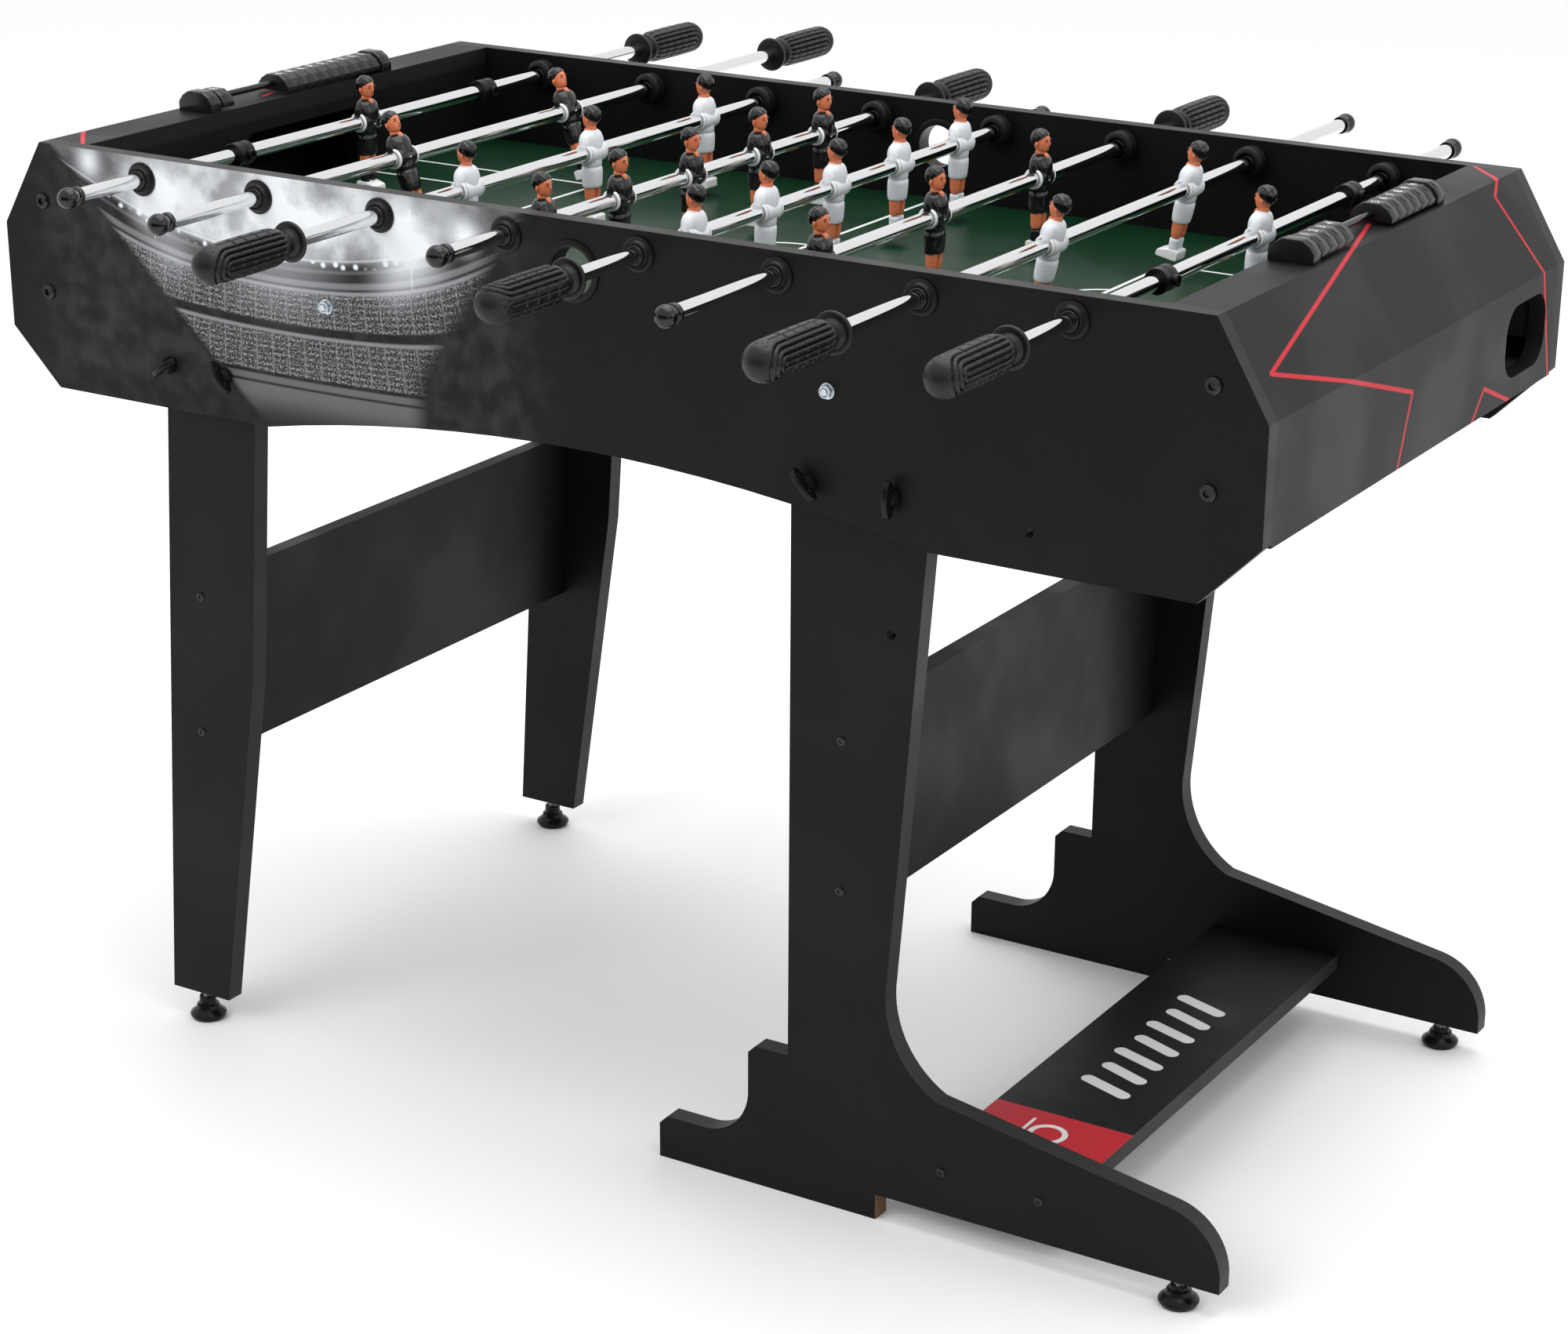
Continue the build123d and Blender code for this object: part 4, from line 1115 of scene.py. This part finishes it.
class FOOSBALL_OT_fasteners(Operator):
    """Add corner bolts, tie rods with nuts, and the leg screws"""

    bl_idname = "foosball.fasteners"
    bl_label = "Bolts and Screws"

    def head(self, whole, x, z, across, radius, height, face, slot=0):
        side = 1 if across > 0 else -1
        recess = radius * 0.42
        profile = [(0.0, height * 0.35), (recess, height * 0.35), (recess * 1.05, height),
            (radius * 0.72, height),
                   (radius * 0.95, height * 0.62), (radius, 0.0)]
        turned(whole, profile, 28, (x, MID_Y + side * face, z), (0, side, 0), slot)

    def execute(self, context):
        look = context.scene.foosball_fittings
        black = metal("black bolt", (0.045, 0.045, 0.048), 0.32)
        zinc = metal("nut zinc", look.zinc, 0.22)
        nylon = surface("lock ring nylon", (0.55, 0.62, 0.66), 0.45)[0]
        whole = bmesh.new()
        for side, tie in TIE_PLACES.items():
            for across in (-1, 1):
                for z in BOLT_HEIGHTS:
                    self.head(whole, side * BOLT_PLACE, z, across, 7.0, 3.0, HALF_WIDTH)
                    turned(whole, [(0.0, 274.0), (3.0, 274.0), (3.0, 305.2)], 16,
                        (side * BOLT_PLACE, MID_Y, z), (0, across, 0))
                place = aimed((tie, MID_Y + across * HALF_WIDTH, TIE_HEIGHT), (0, across, 0))
                gather(whole, lathe([(3.0, 0.0), (6.5, 0.0), (6.5, 0.9), (3.0, 1.0)], 28), 1, place)
                hexagon = [(5.8 * math.cos(a),
                    5.8 * math.sin(a)) for a in (math.pi * k / 3 + 0.3 for k in range(6))]
                nut = round_off(slab(hexagon, 3.4), 0.5, 2, 0.5)
                gather(whole, nut, 1, place @ Matrix.Translation((0, 0, 2.7)))
                gather(whole, lathe([(4.9, 4.2), (4.8, 5.6), (4.2, 6.0), (3.5, 5.8)], 28), 2, place)
                gather(whole, lathe([(0.0, 6.9), (2.4, 6.9), (3.0, 6.3), (3.0, -10.0)], 20), 1, place)
            turned(whole, [(0.0, -300.0), (3.0, -300.0), (3.0, 300.0), (0.0, 300.0)], 16,
                (tie, MID_Y, TIE_HEIGHT), (0, 1, 0), 1)
        finish_piece("cabinet_fasteners", whole, [black, zinc, nylon], "cabinet",
            ["cabinet_bolts"], smooth=0.5)
        for body, spots in (
            ("stand", [(244, 422), (244, 291), (344, 61.7), (435, 60.7)]),
            ("plain_frame", [(-420, 423), (-428, 293)]),
        ):
            whole = bmesh.new()
            for x, z in spots:
                for across in (-1, 1):
                    self.head(whole, x, z, across, 4.2, 1.3, LEG_FACE - 0.1)
            finish_piece(f"{body}_screw_heads", whole, [black], body, smooth=0.5)
        return {"FINISHED"}


class FOOSBALL_OT_feet(Operator):
    """Turn the levelling feet with their zinc studs"""

    bl_idname = "foosball.feet"
    bl_label = "Levelling Feet"

    def execute(self, context):
        black = plastic("foot plastic", 0.26)
        zinc = metal("foot stud zinc", context.scene.foosball_fittings.zinc, 0.24)
        for name in ("plain_foot_near", "plain_foot_far", "stand_foot_near", "stand_foot_far"):
            centre = middle(name)
            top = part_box(name)[1].z / MM
            hub = 22.5 if name.startswith("plain") else 18.2
            bell = [(0.0, 0.0), (13.6, 0.0), (15.0, 0.5), (16.7, 3.2), (17.0, 4.6), (16.4, 6.0),
                (13.8, 8.2), (11.3, 10.0),
                    (10.6, 12.6), (10.1, 14.0), (8.4, 14.7), (7.9, 15.6), (7.7, hub - 0.9), (7.0, hub),
                    (5.0, hub), (4.4, hub - 2.0)]
            whole = bmesh.new()
            base = Matrix.Translation((centre.x, centre.y, 0.0))
            gather(whole, lathe(bell, 48), 0, base)
            thread = [(4.4, hub - 3.0)]
            thread += [(4.0 if k % 2 else 3.55,
                hub - 2.5 + 0.55 * k) for k in range(int((top - hub + 2.0) / 0.55))]
            gather(whole, lathe(thread + [(3.3, top), (0.0, top)], 24), 1, base)
            finish_piece(f"{name}_turned", whole, [black, zinc], name, [name], smooth=0.5)
        return {"FINISHED"}


class FOOSBALL_OT_stage(Operator):
    """Set the pale floor, the soft lights and the camera"""

    bl_idname = "foosball.stage"
    bl_label = "Studio"

    def softbox(self, name, power, size, place, target):
        light = bpy.data.lights.new(name, "AREA")
        light.energy, light.shape, light.size, light.size_y = power, "RECTANGLE", size[0], size[1]
        lamp = bpy.data.objects.new(name, light)
        lamp.location = place
        lamp.rotation_euler = (Vector(target) - Vector(place)).to_track_quat("-Z", "Y").to_euler()
        lamp.visible_glossy = name != "front softbox"
        bpy.context.scene.collection.objects.link(lamp)

    def plain(self, name, colour):
        material = bpy.data.materials.new(name)
        material.use_nodes = True
        shader = material.node_tree.nodes["Principled BSDF"]
        shader.inputs["Base Color"].default_value = (*colour, 1.0)
        shader.inputs["Roughness"].default_value = 0.6
        return material

    def execute(self, context):
        look = context.scene.foosball_studio
        floor = bmesh.new()
        bmesh.ops.create_grid(floor, x_segments=2, y_segments=2, size=30.0)
        mesh = bpy.data.meshes.new("studio_floor")
        floor.to_mesh(mesh)
        floor.free()
        mesh.materials.append(self.plain("studio floor", look.floor))
        ground = bpy.data.objects.new("studio_floor", mesh)
        bpy.context.scene.collection.objects.link(ground)
        flag = bmesh.new()
        bmesh.ops.create_grid(flag, x_segments=2, y_segments=2, size=1.0)
        flag.transform(
            Matrix.Translation((0.6, -4.6, 1.2)) @ Matrix.Rotation(math.pi / 2, 4,
            "X") @ Matrix.Diagonal((4.2, 1.2, 1.0, 1.0))
        )
        cloth = bpy.data.meshes.new("studio_flag")
        flag.to_mesh(cloth)
        flag.free()
        cloth.materials.append(self.plain("studio flag", (0.02, 0.02, 0.02)))
        board = bpy.data.objects.new("studio_flag", cloth)
        bpy.context.scene.collection.objects.link(board)
        world = context.scene.world or bpy.data.worlds.new("studio")
        context.scene.world = world
        world.use_nodes = True
        back = world.node_tree.nodes["Background"]
        back.inputs["Color"].default_value = (1.0, 1.0, 1.0, 1.0)
        back.inputs["Strength"].default_value = look.sky
        self.softbox("front softbox", look.key, (2.6, 1.8), (-1.2, -3.6, 3.0), (0.0, 0.0, 0.6))
        self.softbox("top softbox", look.top, (3.4, 2.4), (0.2, 0.3, 3.2), (0.1, 0.0, 0.7))
        self.softbox("side softbox", look.key * 0.15, (1.2, 2.2), (3.4, 0.4, 1.7), (0.0, 0.0, 0.6))
        camera = bpy.data.cameras.new("camera")
        camera.sensor_width, camera.lens = 36.0, 80.49
        camera.shift_x, camera.shift_y = -0.0253, 0.0606
        camera.clip_end = 60.0
        eye = bpy.data.objects.new("camera", camera)
        yaw, pitch, roll = CAMERA_YAW, CAMERA_PITCH, CAMERA_ROLL
        ahead = Vector((-math.sin(yaw) * math.cos(pitch), math.cos(yaw) * math.cos(pitch), math.sin(pitch)))
        right = Vector((math.cos(yaw), math.sin(yaw), 0.0))
        up = right.cross(ahead)
        tilted = right * math.cos(roll) + up * math.sin(roll)
        upright = up * math.cos(roll) - right * math.sin(roll)
        turn = Matrix((tilted, upright, -ahead)).transposed().to_4x4()
        eye.matrix_world = Matrix.Translation(CAMERA_PLACE) @ turn
        bpy.context.scene.collection.objects.link(eye)
        context.scene.camera = eye
        context.scene.view_settings.view_transform = "Standard"
        return {"FINISHED"}


class FOOSBALL_PT_panel(Panel):
    """Shows the look settings and the build step buttons in the sidebar"""

    bl_label = "Foosball Table"
    bl_idname = "FOOSBALL_PT_panel"
    bl_space_type = "VIEW_3D"
    bl_region_type = "UI"
    bl_category = "Foosball"

    def draw(self, context):
        for group in ("boards", "figures", "grips", "fittings", "studio"):
            box = self.layout.box()
            settings = getattr(context.scene, f"foosball_{group}")
            for key in settings.__annotations__:
                box.prop(settings, key)
        for step in STEPS:
            self.layout.operator(step.bl_idname)


STEPS = (
    FOOSBALL_OT_boards,
    FOOSBALL_OT_legs,
    FOOSBALL_OT_tubes,
    FOOSBALL_OT_figures,
    FOOSBALL_OT_grips,
    FOOSBALL_OT_rod_ends,
    FOOSBALL_OT_bearings,
    FOOSBALL_OT_counters,
    FOOSBALL_OT_wing_screws,
    FOOSBALL_OT_fasteners,
    FOOSBALL_OT_feet,
    FOOSBALL_OT_stage,
)
LOOKS = {
    "foosball_boards": FoosballBoardLook,
    "foosball_figures": FoosballFigureLook,
    "foosball_grips": FoosballGripLook,
    "foosball_fittings": FoosballFittingLook,
    "foosball_studio": FoosballStudioLook,
}


def register():
    for cls in (*LOOKS.values(), *STEPS, FOOSBALL_PT_panel):
        bpy.utils.register_class(cls)
    for name, look in LOOKS.items():
        setattr(bpy.types.Scene, name, PointerProperty(type=look))


def unregister():
    for name in LOOKS:
        delattr(bpy.types.Scene, name)
    for cls in (FOOSBALL_PT_panel, *reversed(STEPS), *reversed(LOOKS.values())):
        bpy.utils.unregister_class(cls)


def main():
    register()
    for step in STEPS:
        family, action = step.bl_idname.split(".")
        getattr(getattr(bpy.ops, family), action)()


if __name__ == "__main__":
    main()
